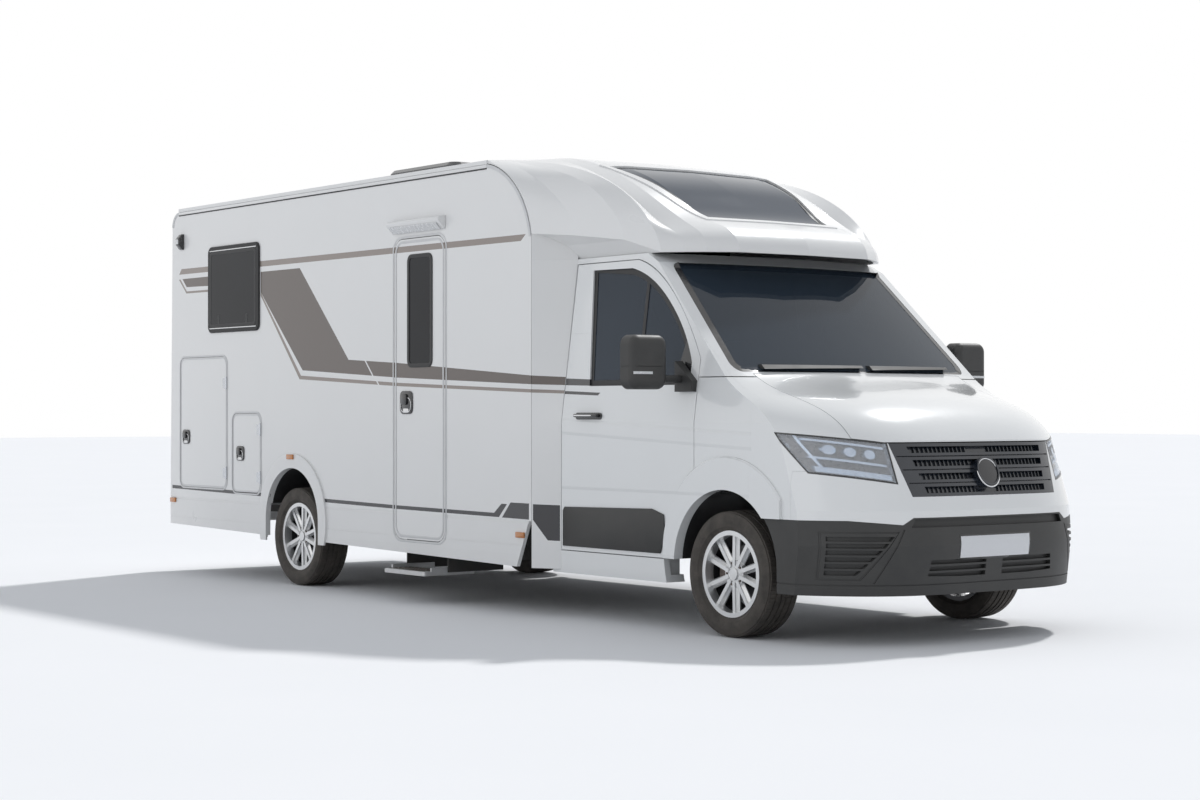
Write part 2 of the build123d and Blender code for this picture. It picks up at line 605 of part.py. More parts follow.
def rear_bumper():
    """Moulded rear apron below the rear wall, with rounded ends and a recess for the number plate."""
    reach = HAB_Y - SKIRT_T - GAP
    apron = block(TAIL_X, TAIL_X + 110.0, -reach, reach, SKIRT_LOW_REAR, FLOOR_Z - SEAT)
    corners = apron.edges().filter_by(Axis.Z).sort_by(Axis.X)[:2]
    apron = fillet(corners, 70.0)
    plate = block(TAIL_X - 5.0, TAIL_X + 14.0, -270.0, 270.0, SKIRT_LOW_REAR + 40.0, SKIRT_LOW_REAR + 165.0)
    line = block(TAIL_X - 5.0, TAIL_X + 6.0, -reach - 5.0, reach + 5.0, FLOOR_Z - 34.0, FLOOR_Z - 28.0)
    return apron - plate - line


def tail_lamps():
    """Upright lamp units on the rear wall, one near each corner."""
    def wall_x(z):
        return TAIL_X + 25.0 + 30.0 * (z - FLOOR_Z) / (ROOF_EDGE_Z - REAR_CORNER_R - FLOOR_Z) - SEAT
    top = TAIL_LAMP_LOW + TAIL_LAMP_H
    outline = [(TAIL_X + 4.0, TAIL_LAMP_LOW + 6.0), (wall_x(TAIL_LAMP_LOW), TAIL_LAMP_LOW), (wall_x(top), top),
               (TAIL_X + 8.0, top - 10.0)]
    unit = side_plate(outline, TAIL_LAMP_Y, TAIL_LAMP_Y + TAIL_LAMP_W)
    for share in (0.34, 0.67):
        z = TAIL_LAMP_LOW + share * TAIL_LAMP_H
        unit -= block(TAIL_X, TAIL_X + 9.0, TAIL_LAMP_Y - 5.0, TAIL_LAMP_Y + TAIL_LAMP_W + 5.0, z - 3.0, z + 3.0)
    return both_sides(unit)


# Ribs of the front cap, from the middle out: share of the half width, lip behind the front axle, rise
# of the lip, and the profile's inner points as shares of its run and of its climb to the roof.
CAP_RIBS = (
    (0.0, 419.0, 0.0, ((0.008, 0.076), (0.217, 0.331), (0.423, 0.639), (0.644, 0.864))),
    (0.455, 455.0, 0.0, ((0.009, 0.078), (0.199, 0.330), (0.410, 0.640), (0.636, 0.865))),
    (0.60, 545.0, 0.0, ((0.008, 0.078), (0.113, 0.263), (0.357, 0.578), (0.615, 0.854))),
    (0.69, 630.0, 0.0, ((0.008, 0.079), (0.116, 0.242), (0.320, 0.520), (0.593, 0.815))),
    (0.773, 725.0, 0.0, ((0.015, 0.084), (0.108, 0.347), (0.295, 0.622), (0.564, 0.834))),
    (0.845, 960.0, 80.0, ((0.011, 0.072), (0.105, 0.316), (0.254, 0.551), (0.526, 0.775))),
    (0.918, 1330.0, 125.0, ((0.013, 0.090), (0.117, 0.308), (0.299, 0.527), (0.571, 0.765))),
    (1.0, 1634.0, 150.0, ((0.009, 0.080), (0.100, 0.345), (0.305, 0.600), (0.585, 0.810))),
)


def cap_rib(rib, side, inset):
    """One rib of the cap as a face in an upright plane along the vehicle."""
    share, lip, rise, points = rib
    y = side * share * (HAB_Y - max(inset, 0.0))
    rear = FRONT_X - ROOF_FRONT
    low = CAB_TOP_Z + SEAT + rise
    run = rear - (FRONT_X - lip)
    climb = roof_height(share * HAB_Y) - low
    floor = low
    if inset > 0.0:
        rear -= 20.0
        floor = low + inset if rise else low - 20.0
    drawn = [(FRONT_X - lip - inset, floor)]
    for along, up in points:
        z = max(low + climb * up - 0.7 * inset, floor + 14.0)
        drawn.append((FRONT_X - lip + run * along - 0.7 * inset, z))
    drawn.append((rear, low + climb - inset))
    line = Spline(*drawn) + Polyline(drawn[-1], (rear, floor), drawn[0])
    return Pos(0, y, 0) * (Plane.XZ * make_face(line))


def cap_envelope(inset):
    """Outer form of the cap, drawn in by inset, as a skin over its ribs."""
    left = [cap_rib(rib, LEFT, inset) for rib in CAP_RIBS]
    right = [cap_rib(rib, RIGHT, inset) for rib in CAP_RIBS[1:]]
    return loft(right[::-1] + left, ruled=True)


def corner_plan(z):
    """Slanted corner between cab and living part at height z, as a face seen from above."""
    outer_x = FRONT_X - HAB_FRONT + GAP
    inner_x = FRONT_X - CAB_DOOR_REAR - GAP - DOOR_SWING * max(0.0, z - SHOULDER_Z) / (CAB_TOP_Z - SHOULDER_Z)
    inner_y = cab_side(z) + SEAT
    points = [(outer_x, HAB_Y), (inner_x, inner_y), (inner_x - 70.0, inner_y), (outer_x, HAB_Y - WALL_T)]
    return Pos(0, 0, z) * make_face(Polyline(*points, close=True))


def front_cap():
    """Moulded cap over the cab: hollow, open below and behind, cut for the roof glass."""
    inside = cap_envelope(CAP_T)
    shape = cap_envelope(0.0) - inside
    rim = (cap_envelope(-CAP_RIM) - cap_envelope(1.0)) & (cap_glass_cut(-CAP_RIM_W) - cap_glass_cut(-1.0))
    shape = shape + rim - cap_glass_cut(0.0)
    edge = offset(wall_outline(), GAP)
    side = Pos(0, HAB_Y + 20.0, 0) * extrude(Plane.XZ * edge, WALL_T + 20.0 + SEAT)
    corner = Pos(0, 0, SEAT) * extrude(corner_plan(CAB_TOP_Z), CAP_RIBS[-1][2] + 10.0) - inside
    return shape - side - mirrored(side) + corner + mirrored(corner)


def cap_glass_cut(inset):
    """Upright prism over the roof glass: wider at the rear."""
    x_low = FRONT_X - 774.0 - inset
    x_top = FRONT_X - 1500.0 + inset
    wide_low = 465.0 - inset
    wide_top = 624.0 - inset
    points = [(x_low, -wide_low), (x_low, wide_low), (x_top, wide_top), (x_top, -wide_top)]
    return Pos(0, 0, CAB_TOP_Z) * extrude(make_face(Polyline(*points, close=True)), 900.0)


def cap_window():
    """Roof glass let into the cap."""
    return (cap_envelope(4.0) - cap_envelope(20.0)) & cap_glass_cut(JOIN)


def transition_panels():
    """Slanted panels that close the step from the cab's width to the living part's."""
    lower = extrude(corner_plan(SKIRT_LOW_FRONT), SHOULDER_Z - SKIRT_LOW_FRONT)
    upper = loft([corner_plan(SHOULDER_Z), corner_plan(CAB_TOP_Z)], ruled=True)
    return both_sides(lower + upper)


# ---------------------------------------------------------------- cab

def cab_section(y, inset):
    """Side profile of the cab at a distance y from the middle, as a face in the XZ plane."""
    sweep = NOSE_SWEEP * (abs(y) / 1000.0) ** 4
    screen = SCREEN_SWEEP * (abs(y) / 850.0) ** 2
    crown = 40.0 * (abs(y) / 850.0) ** 2
    rear = FRONT_X - CAB_REAR - (0.0 if not inset else 60.0)
    nose = FRONT_X - sweep - inset
    glass = FRONT_X - screen - inset
    roof_z = CAB_TOP_Z - inset
    low = 265.0 + inset
    front = Polyline((rear, low), (nose + 985.0, low), (nose + 1018.0, 520.0), (nose + 1004.0, 700.0),
                     (nose + 878.0, 1060.0 - inset * 0.5))
    bonnet = Spline((nose + 878.0, 1060.0 - inset * 0.5),
                    (nose + 760.0 + 0.1 * sweep, 1175.0 - inset - 0.5 * crown),
                    (nose + 480.0 + 0.4 * sweep, 1298.0 - inset - crown),
                    (glass + SCREEN_FOOT_X, SCREEN_LOW_Z + 5.0 - inset))
    back = Polyline((glass + SCREEN_FOOT_X, SCREEN_LOW_Z + 5.0 - inset), (glass + SCREEN_TOP_X, 2055.0 - inset),
                    (glass + SCREEN_TOP_X - HEADER_W, roof_z), (rear, roof_z), (rear, low))
    return Pos(0, y, 0) * (Plane.XZ * make_face(front + bonnet + back))


def cab_envelope(inset):
    """Outer form of the cab, drawn in by inset: swept sections cut to its leaning sides."""
    edge = CAB_Y + 5.0
    stations = [edge * share for share in (-1.0, -0.92, -0.8, -0.6, -0.3, 0.0, 0.3, 0.6, 0.8, 0.92, 1.0)]
    body = loft([cab_section(y, inset) for y in stations])
    side = CAB_Y - inset
    above = CAB_TOP_Z + 10.0
    top = cab_side(above) - inset
    outline = make_face(Polyline((-side, 200.0), (side, 200.0), (side, SHOULDER_Z), (top, above), (-top, above),
                                 (-side, SHOULDER_Z), close=True))
    return body & (Pos(FRONT_X - 2000.0, 0, 0) * extrude(Plane.YZ * outline, 3500.0))


def arch_cut(grow):
    """Front wheel arches, through both sides."""
    cut = axle_disc(FRONT_X, FRONT_ARCH_Z, FRONT_ARCH_R + grow, -CAB_Y - 100.0, CAB_Y + 100.0)
    return cut + block(FRONT_X - FRONT_ARCH_R - grow, FRONT_X + FRONT_ARCH_R + grow, -CAB_Y - 100.0, CAB_Y + 100.0,
                       100.0, FRONT_ARCH_Z)


def door_region(grow):
    """Cab door seen from the side, through both sides. Grown, it is the opening round the door."""
    rear = FRONT_X - CAB_DOOR_REAR - grow
    swing = DOOR_SWING if grow else 0.0
    front = FRONT_X - CAB_DOOR_FRONT + grow
    top = CAB_TOP_Z - 35.0 + grow
    line = Polyline((front, SILL_Z - grow), (rear, SILL_Z - grow), (rear, SHOULDER_Z), (rear - swing, top),
                    (FRONT_X - 900.0, top))
    line += Spline((FRONT_X - 900.0, top), (FRONT_X - 705.0 + grow, 1990.0 + grow), (FRONT_X - 510.0 + grow, 1830.0),
                   (FRONT_X - 355.0 + grow, 1645.0), (front, 1500.0))
    line += Line((front, 1500.0), (front, SILL_Z - grow))
    region = Pos(0, CAB_Y + 50.0, 0) * extrude(Plane.XZ * make_face(line), CAB_W + 100.0)
    flare = axle_disc(FRONT_X + FRONT_FLARE_X, FRONT_FLARE_Z, FRONT_FLARE_R + GAP - grow, -CAB_Y - 60.0, CAB_Y + 60.0)
    return region - flare


def door_window():
    """Side window of the cab, through both sides: its front edge follows the windscreen pillar."""
    line = Polyline((FRONT_X - 330.0, 1357.0), (FRONT_X - 1240.0, 1357.0), (FRONT_X - 1322.0, 2035.0),
                    (FRONT_X - 950.0, 2030.0))
    line += Spline((FRONT_X - 950.0, 2030.0), (FRONT_X - 730.0, 1942.0), (FRONT_X - 540.0, 1790.0),
                   (FRONT_X - 395.0, 1610.0), (FRONT_X - 330.0, 1480.0))
    line += Line((FRONT_X - 330.0, 1480.0), (FRONT_X - 330.0, 1357.0))
    return Pos(0, CAB_Y + 50.0, 0) * extrude(Plane.XZ * make_face(line), CAB_W + 100.0)


def door_zone(side, grow):
    """Cab door as a block on its own side, no deeper than that side's panels."""
    depth = CAB_SKIN + 12.0 + grow
    top = cab_side(CAB_TOP_Z) - depth
    points = [(CAB_Y - depth, 0.0), (CAB_Y + 200.0, 0.0), (CAB_Y + 200.0, 2500.0), (top, 2500.0), (top, CAB_TOP_Z),
              (CAB_Y - depth, SHOULDER_Z)]
    band = Pos(FRONT_X - 2000.0, 0, 0) * extrude(Plane.YZ * make_face(Polyline(*points, close=True)), 3200.0)
    return door_region(grow) & (band if side == LEFT else mirrored(band))


def bonnet_region(grow):
    """Bonnet seen from above: between its side shut lines, from the cowl strip to the lip."""
    rear_y = BONNET_Y + 20.0 + grow
    middle_x = FRONT_X + SCREEN_FOOT_X + COWL_W - grow
    rear_x = middle_x - SCREEN_SWEEP * (rear_y / 850.0) ** 2
    front_y = BONNET_Y - 25.0 + grow
    front_x = FRONT_X + FRONT_OVERHANG + 80.0
    line = ThreePointArc((rear_x, -rear_y), (middle_x, 0), (rear_x, rear_y))
    line += Polyline((rear_x, rear_y), (front_x, front_y), (front_x, -front_y), (rear_x, -rear_y))
    return Pos(0, 0, BONNET_LIP_Z - grow) * extrude(make_face(line), 600.0)


def front_prism(points):
    """Outline of (y, z) points seen from the front, made into a prism along the vehicle."""
    return Pos(FRONT_X + 300.0, 0, 0) * extrude(Plane.YZ * make_face(Polyline(*points, close=True)), 900.0)


def both_ways(points):
    """Outline of one side carried round to the other side."""
    return points + [(-y, z) for y, z in reversed(points)]


def grille_region(grow, narrow=0.0):
    """Grille seen from the front, a trapezium, wider at the top."""
    return front_prism(both_ways([(GRILLE_LOW_Y - narrow + grow, GRILLE_LOW_Z - grow),
                                  (GRILLE_TOP_Y - narrow + grow, BONNET_LIP_Z - GAP + grow)]))


def lamp_region(side, grow):
    """Headlamp: from the grille round the corner of the nose to a slanted rear end."""
    inner = GRILLE_TOP_Y + GAP - grow
    beyond = CAB_Y + 20.0
    slope = LAMP_RISE / (CAB_Y - GRILLE_TOP_Y)
    low = LAMP_LOW_Z - grow
    top = BONNET_LIP_Z - GAP + grow
    spread = (beyond - inner) * slope
    points = [(side * (inner - 6.0), low), (side * inner, top), (side * beyond, top + 0.85 * spread),
              (side * beyond, low + spread)]
    rear = [(FRONT_X + 376.0 - grow, 1120.0), (FRONT_X + 600.0 - grow, 880.0), (FRONT_X + 640.0 - grow, 780.0),
            (FRONT_X + 1200.0, 780.0), (FRONT_X + 1200.0, 1120.0)]
    return front_prism(points) & side_plate(rear, -CAB_Y - 60.0, CAB_Y + 60.0)


OUTER = cab_envelope(0.0)
SKIN = OUTER - cab_envelope(CAB_SKIN)


def bonnet():
    return (SKIN & bonnet_region(0.0)) - lamp_region(LEFT, GAP / 2) - lamp_region(RIGHT, GAP / 2)


def grille():
    """Double slats between plain end panels, on a back plate, with a bare round boss in the middle."""
    high = BONNET_LIP_Z - GAP
    slots = slats(both_ways([(GRILLE_LOW_Y - GRILLE_SIDE, GRILLE_LOW_Z + 10.0), (GRILLE_TOP_Y - GRILLE_SIDE, high - 10.0)]),
                  GRILLE_LOW_Z, high, GRILLE_SLATS, 0.24)
    lines = Part()
    for number in range(1, GRILLE_SLATS):
        z = GRILLE_LOW_Z + number * (high - GRILLE_LOW_Z) / GRILLE_SLATS
        lines += block(FRONT_X, FRONT_X + 1200.0, -CAB_Y, CAB_Y, z - 3.0, z + 3.0)
    panel = SKIN & grille_region(-JOIN)
    panel -= slots - cab_envelope(GRILLE_DEPTH)
    panel -= (lines & grille_region(-14.0)) - cab_envelope(8.0)
    boss = Cylinder(EMBLEM_R, 70.0) - Pos(0, 0, 32.0) * Cylinder(EMBLEM_R - 9.0, 8.0)
    return panel + Pos(FRONT_X + 932.0, 0, EMBLEM_Z) * Rot(0, 71.0, 0) * boss


def headlamp():
    """Left headlamp behind its lens: a dark bowl with a rim, three lenses and the light bars."""
    zone = lamp_region(LEFT, -JOIN)
    inside = lamp_region(LEFT, -JOIN - 7.0)
    slope = LAMP_RISE / (CAB_Y - GRILLE_TOP_Y)
    root = GRILLE_TOP_Y
    behind_lens = (cab_envelope(LAMP_LENS_T + SEAT) & zone) - cab_envelope(LAMP_DEPTH)
    bowl = (cab_envelope(LAMP_DEPTH - 2.0) & zone) - cab_envelope(CAB_SKIN)
    shape = bowl + (behind_lens - inside)
    figures = Part()
    for y0, y1, low, high in ((30.0, 333.0, 1008.0, 1020.0), (30.0, 323.0, 918.0, 930.0), (20.0, 313.0, 850.0, 878.0)):
        corners = ((y0, low), (y1, low), (y1, high), (y0, high))
        figures += front_prism([(root + y, z + y * slope) for y, z in corners])
    bar = [(FRONT_X + 462.0, 1110.0), (FRONT_X + 640.0, 915.0), (FRONT_X + 655.0, 915.0), (FRONT_X + 477.0, 1110.0)]
    figures += side_plate(bar, root + 180.0, CAB_Y + 20.0)
    for y in (98.0, 178.0, 254.0):
        lens = Rot(0, 90, 0) * Cylinder(24.0, 500.0)
        figures += Pos(FRONT_X + 700.0, root + y, 972.0 + y * slope) * lens
    return shape + (behind_lens & figures & inside)


def lamp_lens():
    """Clear lens of the left headlamp, flush with the panels round it."""
    return (OUTER & lamp_region(LEFT, -JOIN)) - cab_envelope(LAMP_LENS_T)


def nose_below(z, grow):
    """All of the nose ahead of the wheel arches and below z."""
    return block(FRONT_X + 300.0, FRONT_X + 1200.0, -CAB_Y - 50.0, CAB_Y + 50.0, 100.0, z - grow)


def apron_region(grow):
    """Front bumper seen from the front: its upper edge steps up over the slot intake."""
    return front_prism(both_ways([(CAB_Y + 50.0, 100.0), (CAB_Y + 50.0, BUMPER_SPLIT_Z + grow),
                                  (SLOT_Y + 290.0, BUMPER_SPLIT_Z + grow), (SLOT_Y + 58.0, SLOT_LOW_Z + 14.0 + grow),
                                  (SLOT_Y + grow, SLOT_TOP_Z + grow)]))


def nose_cuts(shape):
    """Take the arches, lamps and grille out of a nose panel."""
    shape = shape - arch_cut(0.0) - grille_region(0.0)
    for side in (LEFT, RIGHT):
        shape = shape - lamp_region(side, 0.0)
    return shape


def vent_outline(inset):
    """Left vent of the bumper seen from the front: upright outside, slanted inside."""
    high = VENT_TOP_Z - inset
    low = VENT_LOW_Z + inset
    lean = 160.0
    return [(VENT_OUTER_Y - inset, low), (VENT_OUTER_Y - inset, high), (VENT_INNER_Y + inset, high),
            (VENT_INNER_Y + lean + inset, low)]


def slats(outline, low, high, count, share):
    """Openings between slats: as many level slots as count, cut out of an upright prism."""
    pitch = (high - low) / count
    slots = Part()
    for number in range(count):
        z = low + (number + 0.5) * pitch
        slots += block(FRONT_X, FRONT_X + 1200.0, -CAB_Y, CAB_Y, z - share * pitch, z + share * pitch)
    return slots & front_prism(outline)


def bumper_lower():
    """Black bumper with a slot intake above, a slatted vent at each side and an intake below the plate."""
    holes = slats(vent_outline(14.0), VENT_LOW_Z + 12.0, VENT_TOP_Z - 12.0, VENT_SLATS, 0.34)
    mesh = [(62.0, INTAKE_LOW_Z), (62.0, INTAKE_TOP_Z), (INTAKE_Y, INTAKE_TOP_Z + 12.0),
            (INTAKE_Y + 14.0, INTAKE_LOW_Z + 12.0)]
    holes += slats(mesh, INTAKE_LOW_Z, INTAKE_TOP_Z + 12.0, 3, 0.34)
    lines = front_prism(vent_outline(-8.0)) - front_prism(vent_outline(0.0))
    lines += front_prism([(604.0, 606.0), (614.0, 606.0), (745.0, 330.0), (735.0, 330.0)])
    half = nose_cuts(SKIN & apron_region(-JOIN) & block(FRONT_X, FRONT_X + 1200.0, 0.0, CAB_Y + 60.0, 0.0, 900.0))
    half -= holes - cab_envelope(VENT_DEPTH)
    half -= lines - cab_envelope(5.0)
    shape = half + mirrored(half)
    slot = both_ways([(SLOT_Y + 14.0, SLOT_LOW_Z), (SLOT_Y - 10.0, SLOT_TOP_Z - 8.0)])
    shape -= front_prism(slot) - cab_envelope(VENT_DEPTH)
    shape -= block(FRONT_X, FRONT_X + 1200.0, -CAB_Y - 20.0, CAB_Y + 20.0, 318.0, 325.0) - cab_envelope(5.0)
    carrier = block(FRONT_X + RAIL_FRONT + SEAT, FRONT_X + 1015.0, RAIL_Y - RAIL_W, RAIL_Y, RAIL_LOW, FLOOR_Z - 30.0)
    carrier = carrier & cab_envelope(CAB_SKIN - 5.0)
    return shape + carrier + mirrored(carrier)


def bumper_upper():
    """Painted bumper band below the grille and lamps, with a web up between grille and lamp."""
    zone = nose_below(LAMP_LOW_Z + LAMP_RISE, 0.0) - apron_region(0.0)
    zone -= block(FRONT_X + 200.0, FRONT_X + BAND_END + JOIN, -CAB_Y - 60.0, CAB_Y + 60.0, 100.0, 1200.0)
    zone += block(FRONT_X + 600.0, FRONT_X + 1200.0, -WEB_Y, WEB_Y, GRILLE_LOW_Z, BONNET_LIP_Z - GAP)
    return nose_cuts(SKIN & zone)


def front_wings():
    """Wings with their wheel arch, flare and liner."""
    zone = block(FRONT_X - CAB_DOOR_FRONT + GAP, FRONT_X + 900.0, WEB_Y + 20.0, CAB_Y + 50.0, 230.0, WING_TOP_Z - GAP)
    zone -= bonnet_region(GAP)
    zone -= nose_below(LAMP_LOW_Z + LAMP_RISE + JOIN, 0.0) & block(FRONT_X + BAND_END, FRONT_X + 1300.0, 0, CAB_Y + 60.0, 0, 2000.0)
    zone -= lamp_region(LEFT, 0.0)
    skin = (SKIN & zone) - arch_cut(0.0)
    ring = axle_disc(FRONT_X + FRONT_FLARE_X, FRONT_FLARE_Z, FRONT_FLARE_R - 1.0, CAB_Y - 20.0, CAB_Y + WING_FLARE)
    ring = chamfer(ring.edges().sort_by(Axis.Y)[-1], 9.0)
    ring &= block(FRONT_X - 600.0, FRONT_X + 450.0, 900.0, CAB_Y + 60.0, SILL_Z, 1200.0)
    liner = axle_disc(FRONT_X, FRONT_ARCH_Z, FRONT_ARCH_R + 10.0, 560.0, CAB_Y - 10.0)
    liner &= block(FRONT_X - 600.0, FRONT_X + 280.0, 500.0, CAB_Y, SILL_Z, 1200.0)
    gutter_zone = block(FRONT_X - 40.0, FRONT_X + 480.0, BONNET_Y - 60.0, CAB_Y, BONNET_LIP_Z + 20.0, WING_TOP_Z - GAP)
    gutter = (cab_envelope(CAB_SKIN + SEAT) - cab_envelope(CAB_SKIN + 16.0)) & gutter_zone
    web = (cab_envelope(CAB_SKIN - 5.0) - cab_envelope(CAB_SKIN + 16.0)) & (gutter_zone - bonnet_region(GAP))
    web &= block(FRONT_X - 100.0, FRONT_X + 500.0, 0.0, BONNET_Y + 50.0, 900.0, 1500.0)
    gutter &= block(FRONT_X - 100.0, FRONT_X + 500.0, 0.0, BONNET_Y + 50.0, 900.0, 1500.0)
    return both_sides((skin + ring + liner + gutter + web) - arch_cut(0.0) - nose_below(BUMPER_SPLIT_Z, 0.0))


def cab_shell():
    """Cab body behind the wings: floor, bulkhead, cowl, pillars, header and roof frame."""
    front_zone = block(FRONT_X - CAB_DOOR_FRONT, FRONT_X + 100.0, -CAB_Y - 60.0, CAB_Y + 60.0, 200.0, WING_TOP_Z)
    front_zone += axle_disc(FRONT_X + FRONT_FLARE_X, FRONT_FLARE_Z, FRONT_FLARE_R + JOIN, -CAB_Y - 60.0, CAB_Y + 60.0)
    zone = block(FRONT_X - CAB_REAR - 5.0, FRONT_X + 100.0, -CAB_Y - 50.0, CAB_Y + 50.0, 230.0, 2300.0) - front_zone
    shell = (SKIN & zone) - door_zone(LEFT, GAP) - door_zone(RIGHT, GAP) - windscreen_region(0.0)
    shell -= block(FRONT_X - CAB_REAR - 10.0, FRONT_X - 850.0, -680.0, 680.0, 2000.0, 2200.0)
    bulkhead_x = FRONT_X - BULKHEAD
    inner = CAB_Y - CAB_SKIN - 30.0
    inside = cab_envelope(CAB_SKIN + 8.0)
    bulkhead = block(bulkhead_x, bulkhead_x + 30.0, -inner, inner, CAB_FLOOR_Z, WING_TOP_Z + 10.0) & inside
    cowl = block(bulkhead_x, FRONT_X + 100.0, -CAB_Y, CAB_Y, WING_TOP_Z, SCREEN_LOW_Z - 1.0) & OUTER
    cowl -= door_zone(LEFT, GAP) + door_zone(RIGHT, GAP)
    pan = block(FRONT_X - CAB_REAR, bulkhead_x + 10.0, -inner, inner, CAB_FLOOR_Z, CAB_FLOOR_Z + 40.0)
    sill = block(FRONT_X - CAB_REAR, FRONT_X - 540.0, inner - 5.0, CAB_Y - 5.0, 300.0, SILL_Z - GAP)
    sill += block(FRONT_X - CAB_REAR, FRONT_X - 540.0, inner - 60.0, inner, 300.0, CAB_FLOOR_Z + 5.0)
    below = block(FRONT_X - 2500.0, FRONT_X - 100.0, 130.0 - CAB_Y, CAB_Y - 130.0, 200.0, CAB_FLOOR_Z)
    body = shell - below + bulkhead + cowl + pan + sill + mirrored(sill)
    return body - arch_cut(12.0) - bonnet_region(GAP)


def windscreen_region(grow):
    """Windscreen seen from the front."""
    points = [(-896.0 - grow, 1425.0 - grow), (896.0 + grow, 1425.0 - grow), (804.0 + grow, 2050.0 + grow),
              (-804.0 - grow, 2050.0 + grow)]
    outline = make_face(Polyline(*points, close=True))
    outline = fillet(outline.vertices(), 50.0)
    return Pos(FRONT_X - 800.0, 0, 0) * extrude(Plane.YZ * outline, 900.0)


def windscreen():
    """Laminated windscreen set in its frame."""
    return (cab_envelope(2.0) - cab_envelope(2.0 + GLASS_T)) & windscreen_region(-SEAT)


def cab_door(side):
    return (SKIN & door_zone(side, 0.0)) - door_window()


def cab_glass(side):
    opening = door_zone(side, 0.0) & door_window()
    return (cab_envelope(14.0) & opening) - cab_envelope(14.0 + GLASS_T)


def door_mirror(side):
    """Outside mirror: a two-part head on an arm from the front corner of the door's window."""
    inner = MIRROR_REACH - 250.0
    front = FRONT_X - 320.0
    head = block(front - 110.0, front, inner, MIRROR_REACH, MIRROR_LOW_Z, MIRROR_LOW_Z + MIRROR_H)
    head = fillet(head.edges().filter_by(Axis.X), 55.0)
    head = fillet(head.faces().sort_by(Axis.X)[-1].edges(), 42.0)
    split = MIRROR_LOW_Z + 0.42 * MIRROR_H
    shell = block(front - 112.0, front + 5.0, inner - 5.0, MIRROR_REACH + 5.0, split - 2.5, split + 2.5)
    core = block(front - 108.0, front - 5.0, inner + 4.0, MIRROR_REACH - 4.0, split - 5.0, split + 5.0)
    head -= shell - core
    head -= block(front - 115.0, front - 105.0, inner + 16.0, MIRROR_REACH - 16.0, MIRROR_LOW_Z + 16.0,
                  MIRROR_LOW_Z + MIRROR_H - 16.0)
    arm = block(front - 90.0, front - 30.0, 930.0, inner + 40.0, MIRROR_LOW_Z + 36.0, MIRROR_LOW_Z + 78.0)
    rear = FRONT_X - CAB_DOOR_FRONT - SAIL_L
    foot = [(rear, SAIL_LOW_Z), (rear + SAIL_L - GAP, SAIL_LOW_Z), (rear + SAIL_L - GAP, SAIL_LOW_Z + 60.0),
            (rear, SAIL_LOW_Z + SAIL_H)]
    arm = fillet(arm.edges().filter_by(Axis.Y), 16.0) + side_plate(foot, cab_side(SAIL_LOW_Z) - 30.0, CAB_Y + 12.0)
    shape = (head + arm) - cab_envelope(-SEAT)
    return shape if side == LEFT else mirrored(shape)


def wipers():
    """Two wipers lying along the foot of the windscreen."""
    layer = cab_envelope(-WIPER_T) - cab_envelope(2.0 - SEAT)
    arms = []
    for y0, y1 in ((-720.0, -40.0), (20.0, 700.0)):
        outline = make_face(Polyline((y0, 1442.0), (y1, 1452.0), (y1, 1466.0), (y0, 1466.0), close=True))
        arms.append(layer & (Pos(FRONT_X - 400.0, 0, 0) * extrude(Plane.YZ * outline, 700.0)))
    return Compound(children=arms)


def dashboard():
    """Dashboard on the bulkhead with steering column and wheel on the left."""
    back = FRONT_X - BULKHEAD - SEAT
    points = [(back, 800.0), (back, 1300.0), (FRONT_X - 520.0, 1280.0),
              (FRONT_X - 700.0, 1150.0), (FRONT_X - 680.0, 1000.0), (FRONT_X - 450.0, 800.0)]
    shape = side_plate(points, -900.0, 900.0)
    wheel = Torus(190.0, 15.0) + Cylinder(45.0, 40.0) + Box(380.0, 26.0, 16.0) + Box(26.0, 380.0, 16.0)
    wheel += Pos(0, 0, -150.0) * Cylinder(26.0, 300.0)
    wheel = Pos(FRONT_X - 850.0, 400.0, 1200.0) * Rot(0, -55.0, 0) * wheel
    return shape + wheel


def cab_seats():
    """Two swivel seats on their plinths."""
    x = FRONT_X - 1180.0
    plinth = block(x - 180.0, x + 180.0, 240.0, 600.0, CAB_FLOOR_Z + 40.0 + SEAT, 800.0)
    cushion = fillet(block(x - 240.0, x + 270.0, 170.0, 670.0, 790.0, 930.0).edges(), 35.0)
    rest = fillet(block(-60.0, 60.0, 180.0, 660.0, 0.0, 640.0).edges(), 35.0)
    rest = Pos(x - 210.0, 0, 870.0) * Rot(0, -14.0, 0) * rest
    head = fillet(block(-45.0, 45.0, 290.0, 550.0, 620.0, 830.0).edges(), 30.0)
    head = Pos(x - 210.0, 0, 870.0) * Rot(0, -14.0, 0) * head
    return both_sides(plinth + cushion + rest + head)


def engine_block():
    return block(FRONT_X - 60.0, FRONT_X + RAIL_FRONT - 80.0, -330.0, 330.0, HUB_Z + 60.0 + SEAT, 1000.0)


# ---------------------------------------------------------------- write the pieces

RIGHT_OPENINGS = [
    entrance_outline(RIGHT, GAP),
    hatch_cut(RIGHT, GARAGE_FRONT, GARAGE_W, GARAGE_LOW, GARAGE_H, GAP),
    hatch_cut(RIGHT, SMALL_FRONT, SMALL_W, SMALL_LOW, SMALL_H, GAP),
    window_cut(RIGHT, WINDOW_FRONT, WINDOW_W, WINDOW_LOW, WINDOW_H),
]
LEFT_OPENINGS = [
    hatch_cut(LEFT, GARAGE_FRONT, GARAGE_W, GARAGE_LOW, GARAGE_H, GAP),
    window_cut(LEFT, WINDOW_FRONT, WINDOW_W, WINDOW_LOW, WINDOW_H),
    window_cut(LEFT, LOUNGE_FRONT, LOUNGE_W, WINDOW_LOW, LOUNGE_H),
]

